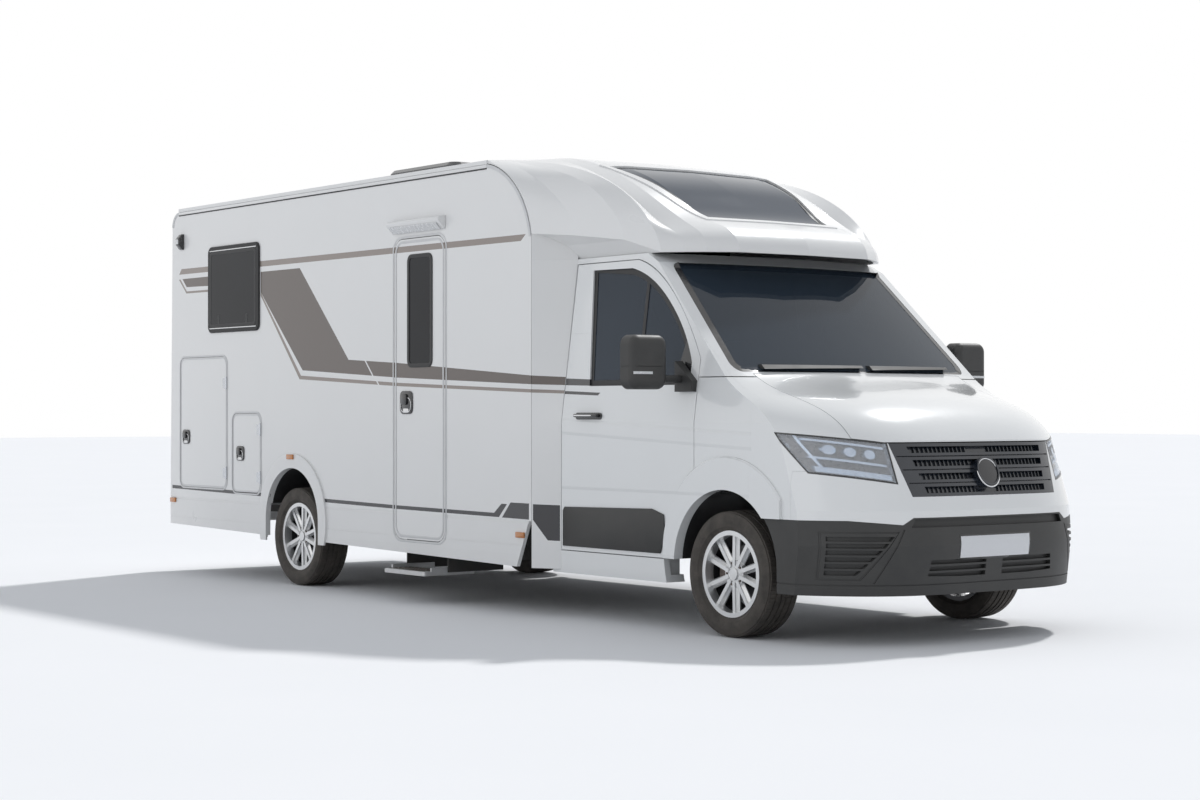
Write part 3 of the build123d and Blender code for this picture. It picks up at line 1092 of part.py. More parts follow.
wheels()
save("knuckle_left", knuckle())
save("knuckle_right", mirrored(knuckle()))
save("front_axle", front_axle())
save("rear_axle", rear_axle())
save("chassis_frame", chassis_frame())
save("floor", floor_panel())
save("waste_tank", waste_tank())
save("wall_right", wall(RIGHT, RIGHT_OPENINGS))
save("wall_left", wall(LEFT, LEFT_OPENINGS))
save("wall_rear", rear_wall())
save("roof", roof_panel())
save("skylight", skylight(0.0))
save("skirt_right", skirt(RIGHT))
save("skirt_left", skirt(LEFT))
save("rear_bumper", rear_bumper())
save("tail_lamps", tail_lamps())
save("front_cap", front_cap())
save("cap_window", cap_window())
save("transition_panels", transition_panels())
save("entrance_door", entrance_door())
save("entrance_glass", entrance_glass())
save("garage_hatch_right", hatch(RIGHT, GARAGE_FRONT, GARAGE_W, GARAGE_LOW, GARAGE_H))
save("small_hatch_right", hatch(RIGHT, SMALL_FRONT, SMALL_W, SMALL_LOW, SMALL_H))
save("garage_hatch_left", hatch(LEFT, GARAGE_FRONT, GARAGE_W, GARAGE_LOW, GARAGE_H))
save("side_windows", Compound(children=[
    window(RIGHT, WINDOW_FRONT, WINDOW_W, WINDOW_LOW, WINDOW_H),
    window(LEFT, WINDOW_FRONT, WINDOW_W, WINDOW_LOW, WINDOW_H),
    window(LEFT, LOUNGE_FRONT, LOUNGE_W, WINDOW_LOW, LOUNGE_H),
]))
save("cab_shell", cab_shell())
save("front_wings", front_wings())
save("bonnet", bonnet())
save("grille", grille())
save("bumper_upper", bumper_upper())
save("bumper_lower", bumper_lower())
save("headlamps", both_sides(headlamp()))
save("headlamp_glass", both_sides(lamp_lens()))
save("windscreen", windscreen())
save("cab_door_right", cab_door(RIGHT))
save("cab_door_left", cab_door(LEFT))
save("cab_glass_right", cab_glass(RIGHT))
save("cab_glass_left", cab_glass(LEFT))
save("mirror_right", door_mirror(RIGHT))
save("mirror_left", door_mirror(LEFT))
save("wipers", wipers())
save("dashboard", dashboard())
save("cab_seats", cab_seats())
save("engine_block", engine_block())
save("entry_step", entry_step())
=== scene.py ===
from math import cos, pi, radians, sin

import bmesh
import bpy
from mathutils import Matrix, Vector
from mathutils.bvhtree import BVHTree


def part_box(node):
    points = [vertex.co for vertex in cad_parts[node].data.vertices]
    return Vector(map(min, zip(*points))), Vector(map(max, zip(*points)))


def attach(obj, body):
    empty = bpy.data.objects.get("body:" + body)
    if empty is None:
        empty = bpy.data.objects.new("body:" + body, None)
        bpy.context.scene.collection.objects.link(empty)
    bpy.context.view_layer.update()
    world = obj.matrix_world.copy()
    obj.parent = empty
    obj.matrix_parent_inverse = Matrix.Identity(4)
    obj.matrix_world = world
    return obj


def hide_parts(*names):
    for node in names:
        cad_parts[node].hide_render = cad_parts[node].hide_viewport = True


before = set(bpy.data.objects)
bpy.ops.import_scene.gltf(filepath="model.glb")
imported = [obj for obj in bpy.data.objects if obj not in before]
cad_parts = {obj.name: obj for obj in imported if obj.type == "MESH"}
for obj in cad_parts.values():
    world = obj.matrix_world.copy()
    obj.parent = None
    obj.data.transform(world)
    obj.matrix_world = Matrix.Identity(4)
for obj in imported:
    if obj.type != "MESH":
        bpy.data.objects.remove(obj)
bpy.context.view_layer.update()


# ------------ camera, ground and light
# A plain pale studio floor and an even white surround. The camera stands at chest height off the
# right front corner of the vehicle.

class Flow:
    """A number, colour or direction that runs through a finish. Arithmetic on it adds the nodes."""

    def __init__(self, tree, socket):
        self.tree = tree
        self.socket = socket

    def node(self, kind, settings, inputs, output=0):
        """Any node: its settings first, then values or flows for its sockets."""
        made = self.tree.nodes.new(kind)
        for name, value in settings.items():
            setattr(made, name, value)
        for name, value in inputs.items():
            if isinstance(value, Flow):
                self.tree.links.new(value.socket, made.inputs[name])
            else:
                made.inputs[name].default_value = value
        return Flow(self.tree, made.outputs[output])

    def sum(self, operation, other, first=None):
        """This and another value put through a Math node, or another value ahead of this one."""
        start = self if first is None else first
        return self.node("ShaderNodeMath", {"operation": operation}, {0: start, 1: other})

    def __add__(self, other):
        return self.sum("ADD", other)

    __radd__ = __add__

    def __sub__(self, other):
        return self.sum("SUBTRACT", other)

    def __rsub__(self, other):
        return self.sum("SUBTRACT", self, other)

    def __mul__(self, other):
        return self.sum("MULTIPLY", other)

    __rmul__ = __mul__

    def __lt__(self, other):
        return self.sum("LESS_THAN", other)

    def __gt__(self, other):
        return self.sum("GREATER_THAN", other)

    def most(self, other):
        return self.sum("MAXIMUM", other)

    def held(self):
        """Kept between 0 and 1."""
        return self.sum("MINIMUM", 1.0).most(0.0)

    def size(self):
        return self.sum("ABSOLUTE", 0.0)

    def repeat(self, length):
        """Distance from the nearest of marks that are one length apart."""
        return self.sum("PINGPONG", length / 2)

    def between(self, shade, other):
        """Colour that goes from shade to other as this goes from 0 to 1."""
        return self.node("ShaderNodeMix", {"data_type": "RGBA"}, {0: self, 6: shade, 7: other}, 2)

    def stretched(self, x, y, z):
        return self.node("ShaderNodeVectorMath", {"operation": "MULTIPLY"}, {0: self, 1: (x, y, z)})

    def noise(self, scale, detail=2.0, rough=0.5):
        return self.node("ShaderNodeTexNoise", {}, {"Vector": self, "Scale": scale, "Detail": detail,
                                                    "Roughness": rough})

    def bump(self, strength, depth):
        return self.node("ShaderNodeBump", {}, {"Height": self, "Strength": strength, "Distance": depth})

    def parts(self):
        return [self.node("ShaderNodeSeparateXYZ", {}, {"Vector": self}, axis) for axis in range(3)]


def finish(name, recipe):
    """A finish whose shader takes what recipe says of a place on the vehicle."""
    made = bpy.data.materials.new(name)
    made.use_nodes = True
    tree = made.node_tree
    shader = tree.nodes["Principled BSDF"]
    place = Flow(tree, tree.nodes.new("ShaderNodeTexCoord").outputs["Object"])
    for socket, value in recipe(place).items():
        if isinstance(value, Flow):
            tree.links.new(value.socket, shader.inputs[socket])
        else:
            shader.inputs[socket].default_value = value
    return made


def studio_floor(place):
    return {"Base Color": place.noise(0.6).between((0.90, 0.905, 0.915, 1), (0.93, 0.93, 0.94, 1)),
            "Roughness": 0.9, "Specular IOR Level": 0.1}


def joined(mesh, name):
    """A mesh object made of the drawn mesh, in its final place."""
    data = bpy.data.meshes.new(name)
    mesh.to_mesh(data)
    mesh.free()
    made = bpy.data.objects.new(name, data)
    bpy.context.scene.collection.objects.link(made)
    return made


drawn = bmesh.new()
bmesh.ops.create_grid(drawn, x_segments=1, y_segments=1, size=80.0)
ground = joined(drawn, "ground")
ground.data.materials.append(finish("floor_white", studio_floor))

camera = bpy.data.objects.new("camera", bpy.data.cameras.new("camera"))
bpy.context.scene.collection.objects.link(camera)
camera.location = (11.661, -8.661, 1.220)
camera.rotation_euler = (radians(90.252), 0.0, radians(52.749))
camera.data.lens = 66.12
camera.data.sensor_width = 36.0
bpy.context.scene.camera = camera

surround = bpy.context.scene.world or bpy.data.worlds.new("surround")
bpy.context.scene.world = surround
surround.use_nodes = True
sky = surround.node_tree
backdrop = sky.nodes["Background"]
ray = sky.nodes.new("ShaderNodeLightPath")
direct = Flow(sky, ray.outputs["Is Camera Ray"]).most(Flow(sky, ray.outputs["Is Glossy Ray"]))
direct = direct.most(Flow(sky, ray.outputs["Is Transmission Ray"]))
sky.links.new(direct.between((0.82, 0.86, 0.92, 1), (1, 1, 1, 1)).socket, backdrop.inputs["Color"])
sky.links.new((direct * 0.43 + 0.57).socket, backdrop.inputs["Strength"])

for name, power, spread, turn in (("high_sun", 1.9, 4.0, (-38.0, -20.0, 0.0)),
                                  ("side_fill", 0.40, 60.0, (72.0, 0.0, -6.0))):
    lamp = bpy.data.objects.new(name, bpy.data.lights.new(name, "SUN"))
    lamp.data.energy = power
    lamp.data.angle = radians(spread)
    lamp.rotation_euler = [radians(angle) for angle in turn]
    bpy.context.scene.collection.objects.link(lamp)
bpy.context.scene.view_settings.view_transform = "Standard"


# ------------ painted walls and their printed stripes
# Sandwich walls with a smooth white skin. The taupe stripes are printed foil, cut where doors and
# lids part them, so each panel carries its own length of every stripe.

wall_low, wall_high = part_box("wall_left")
HALF_WIDTH = wall_high.y
AXLE_X = (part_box("rim_front_left")[0].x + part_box("rim_front_left")[1].x) / 2
WHITE = (0.80, 0.80, 0.795, 1)
TAUPE = (0.125, 0.103, 0.092, 1)
PALE_TAUPE = (0.28, 0.24, 0.215, 1)
INK = (0.022, 0.022, 0.026, 1)


def outline_mask(along, up, corners):
    """1 inside a bulging outline, its corners given in turn as metres behind the front axle and up."""
    inside = None
    spots = [(AXLE_X - behind, height) for behind, height in corners]
    for (x0, z0), (x1, z1) in zip(spots, spots[1:] + spots[:1]):
        edge = (along - x0) * (z1 - z0) - (up - z0) * (x1 - x0)
        half = edge > 0.0
        inside = half if inside is None else inside * half
    return inside


def covered(shade, along, up, ink, outlines):
    """Shade with each outline printed over it."""
    for corners in outlines:
        shade = outline_mask(along, up, corners).between(shade, ink)
    return shade


def run(*stations):
    """Outlines of a stripe between stations, each a low and a high point, given from the rear to the front."""
    return [[low, high, front_high, front_low] for (low, high), (front_low, front_high) in zip(stations, stations[1:])]


# Corners run clockwise seen from the right: rear low, rear high, front high, front low.
UPPER_LINE = run(((6.234, 2.241), (6.196, 2.282)), ((1.750, 2.224), (1.700, 2.262)))
BROAD_BAND = [[(4.357, 1.491), (4.956, 2.055), (4.956, 2.200), (4.398, 2.198), (3.742, 1.553)]]
BROAD_BAND += run(((4.357, 1.491), (3.742, 1.553)), ((3.134, 1.427), (3.134, 1.522)),
                  ((1.605, 1.369), (1.605, 1.420)), ((1.400, 1.362), (1.400, 1.408)))
BROAD_BAND += run(((6.110, 2.142), (6.181, 2.206)), ((5.715, 2.135), (5.715, 2.205)))
THIN_LINE = run(((4.956, 2.030), (4.956, 2.055)), ((4.400, 1.430), (4.380, 1.455)), ((3.134, 1.372), (3.134, 1.394)),
                ((1.605, 1.320), (1.605, 1.340)), ((1.400, 1.312), (1.400, 1.330)))
THIN_LINE += run(((6.238, 2.204), (6.212, 2.204)), ((6.115, 2.094), (6.108, 2.110)), ((5.715, 2.092), (5.715, 2.108)))
LOW_LINE = run(((6.345, 0.624), (6.345, 0.649)), ((3.134, 0.580), (3.134, 0.604)), ((1.979, 0.572), (2.030, 0.597)))
LOW_LINE += [[(1.979, 0.572), (2.040, 0.590), (1.952, 0.654), (1.893, 0.654)],
             [(1.947, 0.571), (1.856, 0.665), (1.666, 0.665), (1.666, 0.569)],
             [(1.632, 0.569), (1.632, 0.662), (1.486, 0.658), (1.486, 0.448), (1.552, 0.450)]]
SLASH = [[(3.427, 1.428), (3.545, 1.552), (3.530, 1.552), (3.411, 1.428)],
         [(3.350, 1.366), (3.400, 1.416), (3.385, 1.416), (3.335, 1.366)]]
PRINTED = [(PALE_TAUPE, UPPER_LINE), (TAUPE, BROAD_BAND), (PALE_TAUPE, THIN_LINE), (INK, LOW_LINE), (WHITE, SLASH)]


def printed_skin(place):
    """White gel coat with stripes printed on the outer faces. What stands out, the hinges, is bare metal."""
    along, across, up = place.parts()
    metal = across.size() > HALF_WIDTH + 0.0006
    dust = place.noise(3.0, 4.0)
    outside = (across.size() > HALF_WIDTH - 0.003).most(along > wall_high.x + 0.001)
    shade = bare = (dust * 0.10).between(WHITE, (0.62, 0.61, 0.59, 1))
    for ink, outlines in PRINTED:
        shade = covered(shade, along, up, ink, outlines)
    shade = outside.between(bare, shade)
    shade = metal.between(shade, (0.56, 0.58, 0.61, 1))
    return {"Base Color": shade, "Metallic": metal * 0.8, "Roughness": dust * 0.10 + 0.20, "Coat Weight": 0.35,
            "Coat Roughness": 0.08, "Normal": place.noise(5.0, 1.0).bump(0.04, 0.004)}


def moulding_skin(place):
    """Plain white moulding, a shade duller than the walls."""
    dust = place.noise(4.0, 4.0)
    low = place.parts()[2] < 0.36
    return {"Base Color": (dust * 0.14 + low * 0.05).between((0.79, 0.79, 0.785, 1), (0.60, 0.59, 0.57, 1)),
            "Roughness": dust * 0.12 + 0.24, "Coat Weight": 0.3, "Coat Roughness": 0.1,
            "Normal": place.noise(9.0, 1.0).bump(0.05, 0.003)}


wall_skin = finish("printed_wall_skin", printed_skin)
moulding = finish("white_moulding", moulding_skin)


def clad(nodes, material):
    """Give pieces of the frame their finish."""
    for node in nodes:
        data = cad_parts[node].data
        data.materials.clear()
        data.materials.append(material)


clad(["wall_right", "wall_left", "entrance_door", "garage_hatch_right", "garage_hatch_left", "small_hatch_right",
      "transition_panels", "wall_rear"], wall_skin)
clad(["skirt_right", "skirt_left", "rear_bumper", "front_cap", "roof"], moulding)


# ------------ tyres
# Rubber tyres with four grooves round the tread and sipes across its ribs. Each is turned from one
# section; the tread blocks are raised out of it. They go over the plain tyres of the frame.

TREAD_DEPTH = 0.007
TREAD_STEPS = 96
INNER_GROOVE = (0.12, 0.22)     # shares of the tread's half width
OUTER_GROOVE = (0.52, 0.62)


def tyre_rubber(place):
    """Grey-brown road dust on black rubber, with fine moulded ribs."""
    dust = place.noise(14.0, 5.0, 0.65)
    return {"Base Color": (dust * 0.9 - 0.08).between((0.022, 0.021, 0.020, 1), (0.150, 0.132, 0.115, 1)),
            "Roughness": dust * 0.2 + 0.62, "Specular IOR Level": 0.3,
            "Normal": place.noise(160.0, 2.0).bump(0.25, 0.001)}


rubber = finish("tyre_rubber", tyre_rubber)


def smooth(piece, degrees=32.0):
    """Shade a piece smooth, with its edges sharper than so many degrees kept crisp."""
    for face in piece.data.polygons:
        face.use_smooth = True
    edges = bmesh.new()
    edges.from_mesh(piece.data)
    for edge in edges.edges:
        edge.smooth = len(edge.link_faces) == 2 and edge.calc_face_angle(0.0) < radians(degrees)
    edges.to_mesh(piece.data)
    edges.free()


def fitted(mesh, name, body, material, slot, degrees=32.0):
    """Join a closed drawn mesh, face it outwards, and fix it to its body in its finish."""
    bmesh.ops.remove_doubles(mesh, verts=mesh.verts, dist=1e-6)
    bmesh.ops.recalc_face_normals(mesh, faces=mesh.faces)
    made = joined(mesh, name)
    made.data.materials.append(material)
    smooth(made, degrees)
    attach(made, body)
    return made


def turned(mesh, section, centre, axis, steps, closed=True):
    """Spin a section once round an axis through centre. An open one starts and ends on the axis."""
    ring = [mesh.verts.new(point) for point in section]
    line = [mesh.edges.new(pair) for pair in zip(ring, ring[1:] + (ring[:1] if closed else []))]
    bmesh.ops.spin(mesh, geom=ring + line, cent=centre, axis=axis, dvec=(0, 0, 0), angle=2 * pi, steps=steps,
                   use_merge=True)


for corner in ("front_left", "front_right", "rear_left", "rear_right"):
    low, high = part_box("tyre_" + corner)
    hub = (low + high) / 2
    radius = (high.z - low.z) / 2
    half = (high.y - low.y) / 2
    tread = radius - TREAD_DEPTH
    rim_low, rim_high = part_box("rim_" + corner)
    bead = (rim_high.z - rim_low.z) / 2 + 0.001
    edge = half * 0.84
    side = [(-half * 0.72, bead - 0.003), (-half * 0.80, bead + 0.003), (-half * 0.835, bead + 0.010),
            (-half * 0.90, bead + 0.016), (-half * 0.935, bead + 0.019), (-half * 0.955, bead + 0.023),
            (-half * 0.955, bead + 0.027), (-half * 0.985, bead + 0.038), (-half, bead + 0.052),
            (-half * 0.985, bead + 0.066), (-half * 0.94, tread - 0.022), (-half * 0.925, tread - 0.016),
            (-half * 0.90, tread - 0.006)]
    shares = [*INNER_GROOVE, *OUTER_GROOVE, 1.0]
    ribs = [-edge * share for share in reversed(shares)] + [edge * share for share in shares]
    crown = [(across, tread - 0.004 * (across / edge) ** 2) for across in ribs]
    section = side + crown + [(-across, height) for across, height in reversed(side)]
    drawn = bmesh.new()
    turned(drawn, [hub + Vector((0.0, across, height)) for across, height in section], hub, (0, 1, 0), TREAD_STEPS)
    raised = []
    for face in drawn.faces:
        middle = face.calc_center_median() - hub
        reach = Vector((middle.x, middle.z)).length
        share = abs(middle.y) / edge
        in_groove = any(low_share < share < high_share for low_share, high_share in (INNER_GROOVE, OUTER_GROOVE))
        if reach > tread - 0.0055 and share < 1.0 and not in_groove:
            raised.append(face)
    bmesh.ops.recalc_face_normals(drawn, faces=drawn.faces)
    bmesh.ops.inset_individual(drawn, faces=raised, thickness=0.0011, depth=TREAD_DEPTH - 0.0005)
    skin = fitted(drawn, "tread_" + corner, "wheel_" + corner, rubber, "rubber", 24.0)
    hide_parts("tyre_" + corner)


# ------------ wheels
# Cast alloy wheels with ten spokes in pairs and a bare cap. The spokes are bright and turned; the well
# behind them holds the cast brake disc and is painted dark as shade. Five hexagon bolts hold each.

def wheel_alloy(place):
    """Silver lacquer with fine turning marks and a little brake dust, and painted shade in the deep well."""
    dust = place.noise(22.0, 4.0)
    along, across, _ = place.parts()
    depth = across.size()
    # Painted shade: the deep well behind the spokes is coloured dark grey.
    well = (depth < 0.905).most((depth < 0.992) * (along < 0.0))
    lacquer = (dust * 0.28).between((0.74, 0.75, 0.76, 1), (0.40, 0.38, 0.36, 1))
    return {"Base Color": well.between(lacquer, (0.12, 0.12, 0.125, 1)), "Metallic": 0.8,
            "Roughness": dust * 0.18 + 0.24, "Normal": place.noise(90.0, 2.0).bump(0.06, 0.0006)}


def plain(name, noise, clean, worn, rough, more=(), share=None):
    """A finish that goes from clean to worn with one noise, or a share of it. Its roughness varies likewise:
    rough gives by how much and from what."""
    def recipe(place):
        dust = place.noise(*noise)
        amount = dust * share if share else dust
        return {"Base Color": amount.between((*clean, 1), (*worn, 1)), "Roughness": dust * rough[0] + rough[1],
                **dict(more)}
    return finish(name, recipe)


alloy = finish("wheel_alloy", wheel_alloy)
# Machined iron with a bloom of rust.
iron = plain("brake_iron", (40.0, 5.0), (0.10, 0.10, 0.105), (0.20, 0.15, 0.12), (0.2, 0.4), {"Metallic": 0.7})
clad(["knuckle_left", "knuckle_right"], iron)
BOLTS = 5
BOLT_RING = 0.060
BOLT_SEAT = 0.067       # outward from the middle of the rim
CAP_SEAT = 0.0752

for corner in ("front_left", "front_right", "rear_left", "rear_right"):
    clad(["rim_" + corner], alloy)
    low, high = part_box("rim_" + corner)
    hub = (low + high) / 2
    out = 1.0 if hub.y > 0 else -1.0
    drawn = bmesh.new()
    for number in range(BOLTS):
        turn = 2 * pi * (number + 0.5) / BOLTS
        seat = Vector((hub.x + BOLT_RING * cos(turn), hub.y + out * BOLT_SEAT, hub.z - BOLT_RING * sin(turn)))
        head = bmesh.ops.create_cone(drawn, cap_ends=True, segments=6, radius1=0.0068, radius2=0.0060, depth=0.010)
        spot = Matrix.Translation(seat) @ Matrix.Rotation(-out * pi / 2, 4, "X")
        bmesh.ops.transform(drawn, matrix=spot, verts=head["verts"])
    fitted(drawn, "bolts_" + corner, "wheel_" + corner, iron, "steel", 20.0)

    drawn = bmesh.new()
    section = [(0.0, 0.0), (0.0290, 0.0), (0.0330, 0.0006), (0.0335, 0.0026), (0.0305, 0.0034), (0.0285, 0.0022),
               (0.0, 0.0030)]
    spots = [(hub.x + reach, hub.y + out * (CAP_SEAT + rise), hub.z) for reach, rise in section]
    turned(drawn, spots, hub, (0, 1, 0), 40, closed=False)
    fitted(drawn, "hub_cap_" + corner, "wheel_" + corner, alloy, "alloy")


# ------------ running gear and underside
# Pressed and welded steel under black wax, with an alloy step tread that has rubber strips.

def step_alloy(place):
    """Ribbed aluminium tread."""
    ribs = place.parts()[1].repeat(0.012)
    return {"Base Color": place.noise(20.0, 3.0).between((0.62, 0.63, 0.64, 1), (0.48, 0.48, 0.48, 1)),
            "Metallic": 0.8, "Roughness": 0.38, "Normal": ribs.bump(0.5, 0.003)}


def floor_board(place):
    """Sealed plywood above, with its grain along the vehicle, and black wax below and round the wheel boxes."""
    along, across, up = place.parts()
    grain = place.stretched(0.6, 14.0, 4.0).noise(6.0, 5.0, 0.6)
    wheel_box = (along > -2.30) * (along < -1.30) * (across.size() > 0.60)
    waxed = (up < 0.600).most(wheel_box)
    wood = grain.between((0.30, 0.20, 0.12, 1), (0.46, 0.34, 0.22, 1))
    return {"Base Color": waxed.between(wood, (0.016, 0.016, 0.017, 1)), "Roughness": grain * 0.1 + 0.5}


# Black chassis wax with thin road dust.
steel = plain("black_chassis_steel", (9.0, 5.0), (0.018, 0.018, 0.019), (0.085, 0.078, 0.070), (0.2, 0.5), share=0.6)
clad(["chassis_frame", "front_axle", "rear_axle", "waste_tank"], steel)
clad(["engine_block"], iron)
clad(["entry_step"], finish("step_alloy", step_alloy))
clad(["floor"], finish("floor_board", floor_board))


def block(mesh, size, centre):
    """A box of a size round a centre."""
    made = bmesh.ops.create_cube(mesh, size=1.0)["verts"]
    bmesh.ops.scale(mesh, vec=size, verts=made)
    bmesh.ops.translate(mesh, vec=centre, verts=made)


def rolled(mesh, edges, width, segments=2):
    """Round over edges of a drawn mesh."""
    bmesh.ops.bevel(mesh, geom=edges, offset=width, segments=segments, profile=0.5, affect="EDGES", material=-1)


low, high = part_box("entry_step")
drawn = bmesh.new()
for number in range(5):
    block(drawn, (high.x - low.x - 0.07, 0.014, 0.003),
          ((low.x + high.x) / 2, low.y + 0.030 + 0.036 * number, high.z - 0.0205))
rolled(drawn, drawn.edges[:], 0.001)
fitted(drawn, "step_strips", "entry_step", rubber, "rubber")


# ------------ side windows
# Hinged double panes of dark acrylic in a black frame, with a bright bead along its top and foot and
# a latch inside. They are clamped into the wall from both sides.

def bright_metal(place):
    """Brushed and anodised aluminium."""
    brush = place.stretched(3.0, 3.0, 160.0).noise(4.0, 3.0)
    return {"Base Color": brush.between((0.74, 0.75, 0.76, 1), (0.62, 0.62, 0.63, 1)), "Metallic": 0.9,
            "Roughness": brush * 0.12 + 0.20}


# Smoke-tinted acrylic with a faint blue cast, and black extruded rubber.
pane = plain("dark_pane", (2.0, 2.0), (0.006, 0.007, 0.009), (0.014, 0.016, 0.020), (0.03, 0.035),
             {"Specular IOR Level": 0.22})
seal = plain("black_seal", (30.0, 4.0), (0.012, 0.012, 0.013), (0.034, 0.034, 0.035), (0.2, 0.45))
bright = finish("bright_bead", bright_metal)
clad(["side_windows", "entrance_glass", "cab_glass_left", "cab_glass_right"], pane)


def rounded(low_x, high_x, low_z, high_z, corner, steps=6):
    """Points (x, z) round an upright rectangle with round corners."""
    points = []
    for side_x, side_z, start in ((1, 1, 0), (-1, 1, 90), (-1, -1, 180), (1, -1, 270)):
        middle_x = high_x - corner if side_x > 0 else low_x + corner
        middle_z = high_z - corner if side_z > 0 else low_z + corner
        for step in range(steps + 1):
            turn = radians(start + 90.0 * step / steps)
            points.append((middle_x + corner * cos(turn), middle_z + corner * sin(turn)))
    return points


def strip(mesh, path, facing, inner, outer, under, over, closed=True):
    """A bar along a path: from inner to outer across it, and from under to over along facing."""
    count = len(path)
    rings = []
    for number, point in enumerate(path):
        before = path[number - 1] if closed or number else point
        after = path[(number + 1) % count] if closed or number < count - 1 else point
        up = facing[number] if isinstance(facing, list) else facing
        forward = (after - before).normalized()
        across = forward.cross(up).normalized()
        corners = ((inner, under), (outer, under), (outer, over), (inner, over))
        rings.append([mesh.verts.new(point + across * reach + up * rise) for reach, rise in corners])
    pairs = list(zip(rings, rings[1:]))
    if closed:
        pairs.append((rings[-1], rings[0]))
    else:
        mesh.faces.new(rings[0])
        mesh.faces.new(rings[-1])
    for one, other in pairs:
        for k in range(4):
            mesh.faces.new((one[k], one[(k + 1) % 4], other[(k + 1) % 4], other[k]))


def thickened(mesh, faces, by):
    """Make an open sheet a closed plate, thick by a vector."""
    grown = bmesh.ops.extrude_face_region(mesh, geom=faces)["geom"]
    bmesh.ops.translate(mesh, vec=by, verts=[item for item in grown if isinstance(item, bmesh.types.BMVert)])


def plate(mesh, outline, by):
    """Flat plate of an outline given in its place, thick by a vector."""
    ring = [mesh.verts.new(point) for point in outline]
    line = [mesh.edges.new((ring[k - 1], ring[k])) for k in range(len(ring))]
    thickened(mesh, bmesh.ops.contextual_create(mesh, geom=line)["faces"], by)


def slab(mesh, points, side, face, under, over):
    """Plate of an outline of (x, z) points that stands out from under to over of a face of one side."""
    plate(mesh, [(x, side * (face + under), z) for x, z in points], (0, side * (over - under), 0))


def softened(mesh, width, degrees=40.0):
    """Round over the sharp edges of a drawn mesh."""
    bmesh.ops.recalc_face_normals(mesh, faces=mesh.faces)
    sharp = [edge for edge in mesh.edges if len(edge.link_faces) == 2 and edge.calc_face_angle(0.0) > radians(degrees)]
    rolled(mesh, sharp, width)


def on_wall(side, low_x, high_x, low_z, high_z, corner):
    """Points round an upright rectangle with round corners on the face of a side wall."""
    return [Vector((x, side * HALF_WIDTH, z)) for x, z in rounded(low_x, high_x, low_z, high_z, corner)]


def bar(name, body, path, facing, across, proud, edge, material, slot, closed=True):
    """A strip as a piece of its own: its reach across the path, from what to what it stands out, and the
    radius of its edges, which stay sharp at 0."""
    drawn = bmesh.new()
    strip(drawn, path, facing, *across, *proud, closed)
    if edge:
        softened(drawn, edge)
    fitted(drawn, name, body, material, slot)


WINDOWS = [("rear_right", -1, AXLE_X - 5.738, AXLE_X - 4.971, 1.790, 2.411),
           ("rear_left", 1, AXLE_X - 5.738, AXLE_X - 4.971, 1.790, 2.411),
           ("lounge_left", 1, AXLE_X - 3.350, AXLE_X - 2.350, 1.790, 2.350)]
FRAME_OUT = 0.0142      # how far a window stands out from the wall

for name, side, low_x, high_x, low_z, high_z in WINDOWS:
    out = Vector((0.0, side, 0.0))
    edge_y = side * HALF_WIDTH
    drawn = bmesh.new()
    path = on_wall(side, low_x, high_x, low_z, high_z, 0.045)
    strip(drawn, path, out, -0.006 * side, 0.010 * side, 0.0003, 0.011)
    path = on_wall(side, low_x + 0.040, high_x - 0.040, low_z + 0.046, high_z - 0.046, 0.030)
    strip(drawn, path, out, -0.012 * side, 0.012 * side, FRAME_OUT - 0.001, FRAME_OUT + 0.0012)
    softened(drawn, 0.0015)
    fitted(drawn, "window_frame_" + name, "body", seal, "rubber")
    drawn = bmesh.new()
    for height in (low_z + 0.026, high_z - 0.026):
        path = [Vector((low_x + 0.030, edge_y, height)), Vector((high_x - 0.030, edge_y, height))]
        strip(drawn, path, out, -0.0035, 0.0035, FRAME_OUT - 0.001, FRAME_OUT + 0.003, closed=False)
    softened(drawn, 0.001)
    fitted(drawn, "window_bead_" + name, "body", bright, "alloy")
    drawn = bmesh.new()
    for place_x in (low_x + 0.17, high_x - 0.17):
        slab(drawn, rounded(place_x - 0.016, place_x + 0.016, low_z + 0.055, low_z + 0.120, 0.008), side, HALF_WIDTH,
             FRAME_OUT - 0.0006, FRAME_OUT + 0.0008)
    fitted(drawn, "window_latch_" + name, "body", seal, "rubber")


# ------------ entrance door
# A sandwich door in a light grey aluminium frame, with a dark fixed pane in a rubber seal, and a
# D-shaped black handle with a bright rim round its finger well.

# Light grey powder-coated aluminium section, and gloss black moulding.
frame_grey = plain("frame_grey", (18.0, 3.0), (0.66, 0.665, 0.67), (0.56, 0.565, 0.57), (0.1, 0.30), {"Metallic": 0.1})
gloss_black = plain("gloss_black", (25.0, 3.0), (0.012, 0.012, 0.014), (0.024, 0.024, 0.026), (0.1, 0.16),
                    {"Coat Weight": 0.4, "Coat Roughness": 0.05})


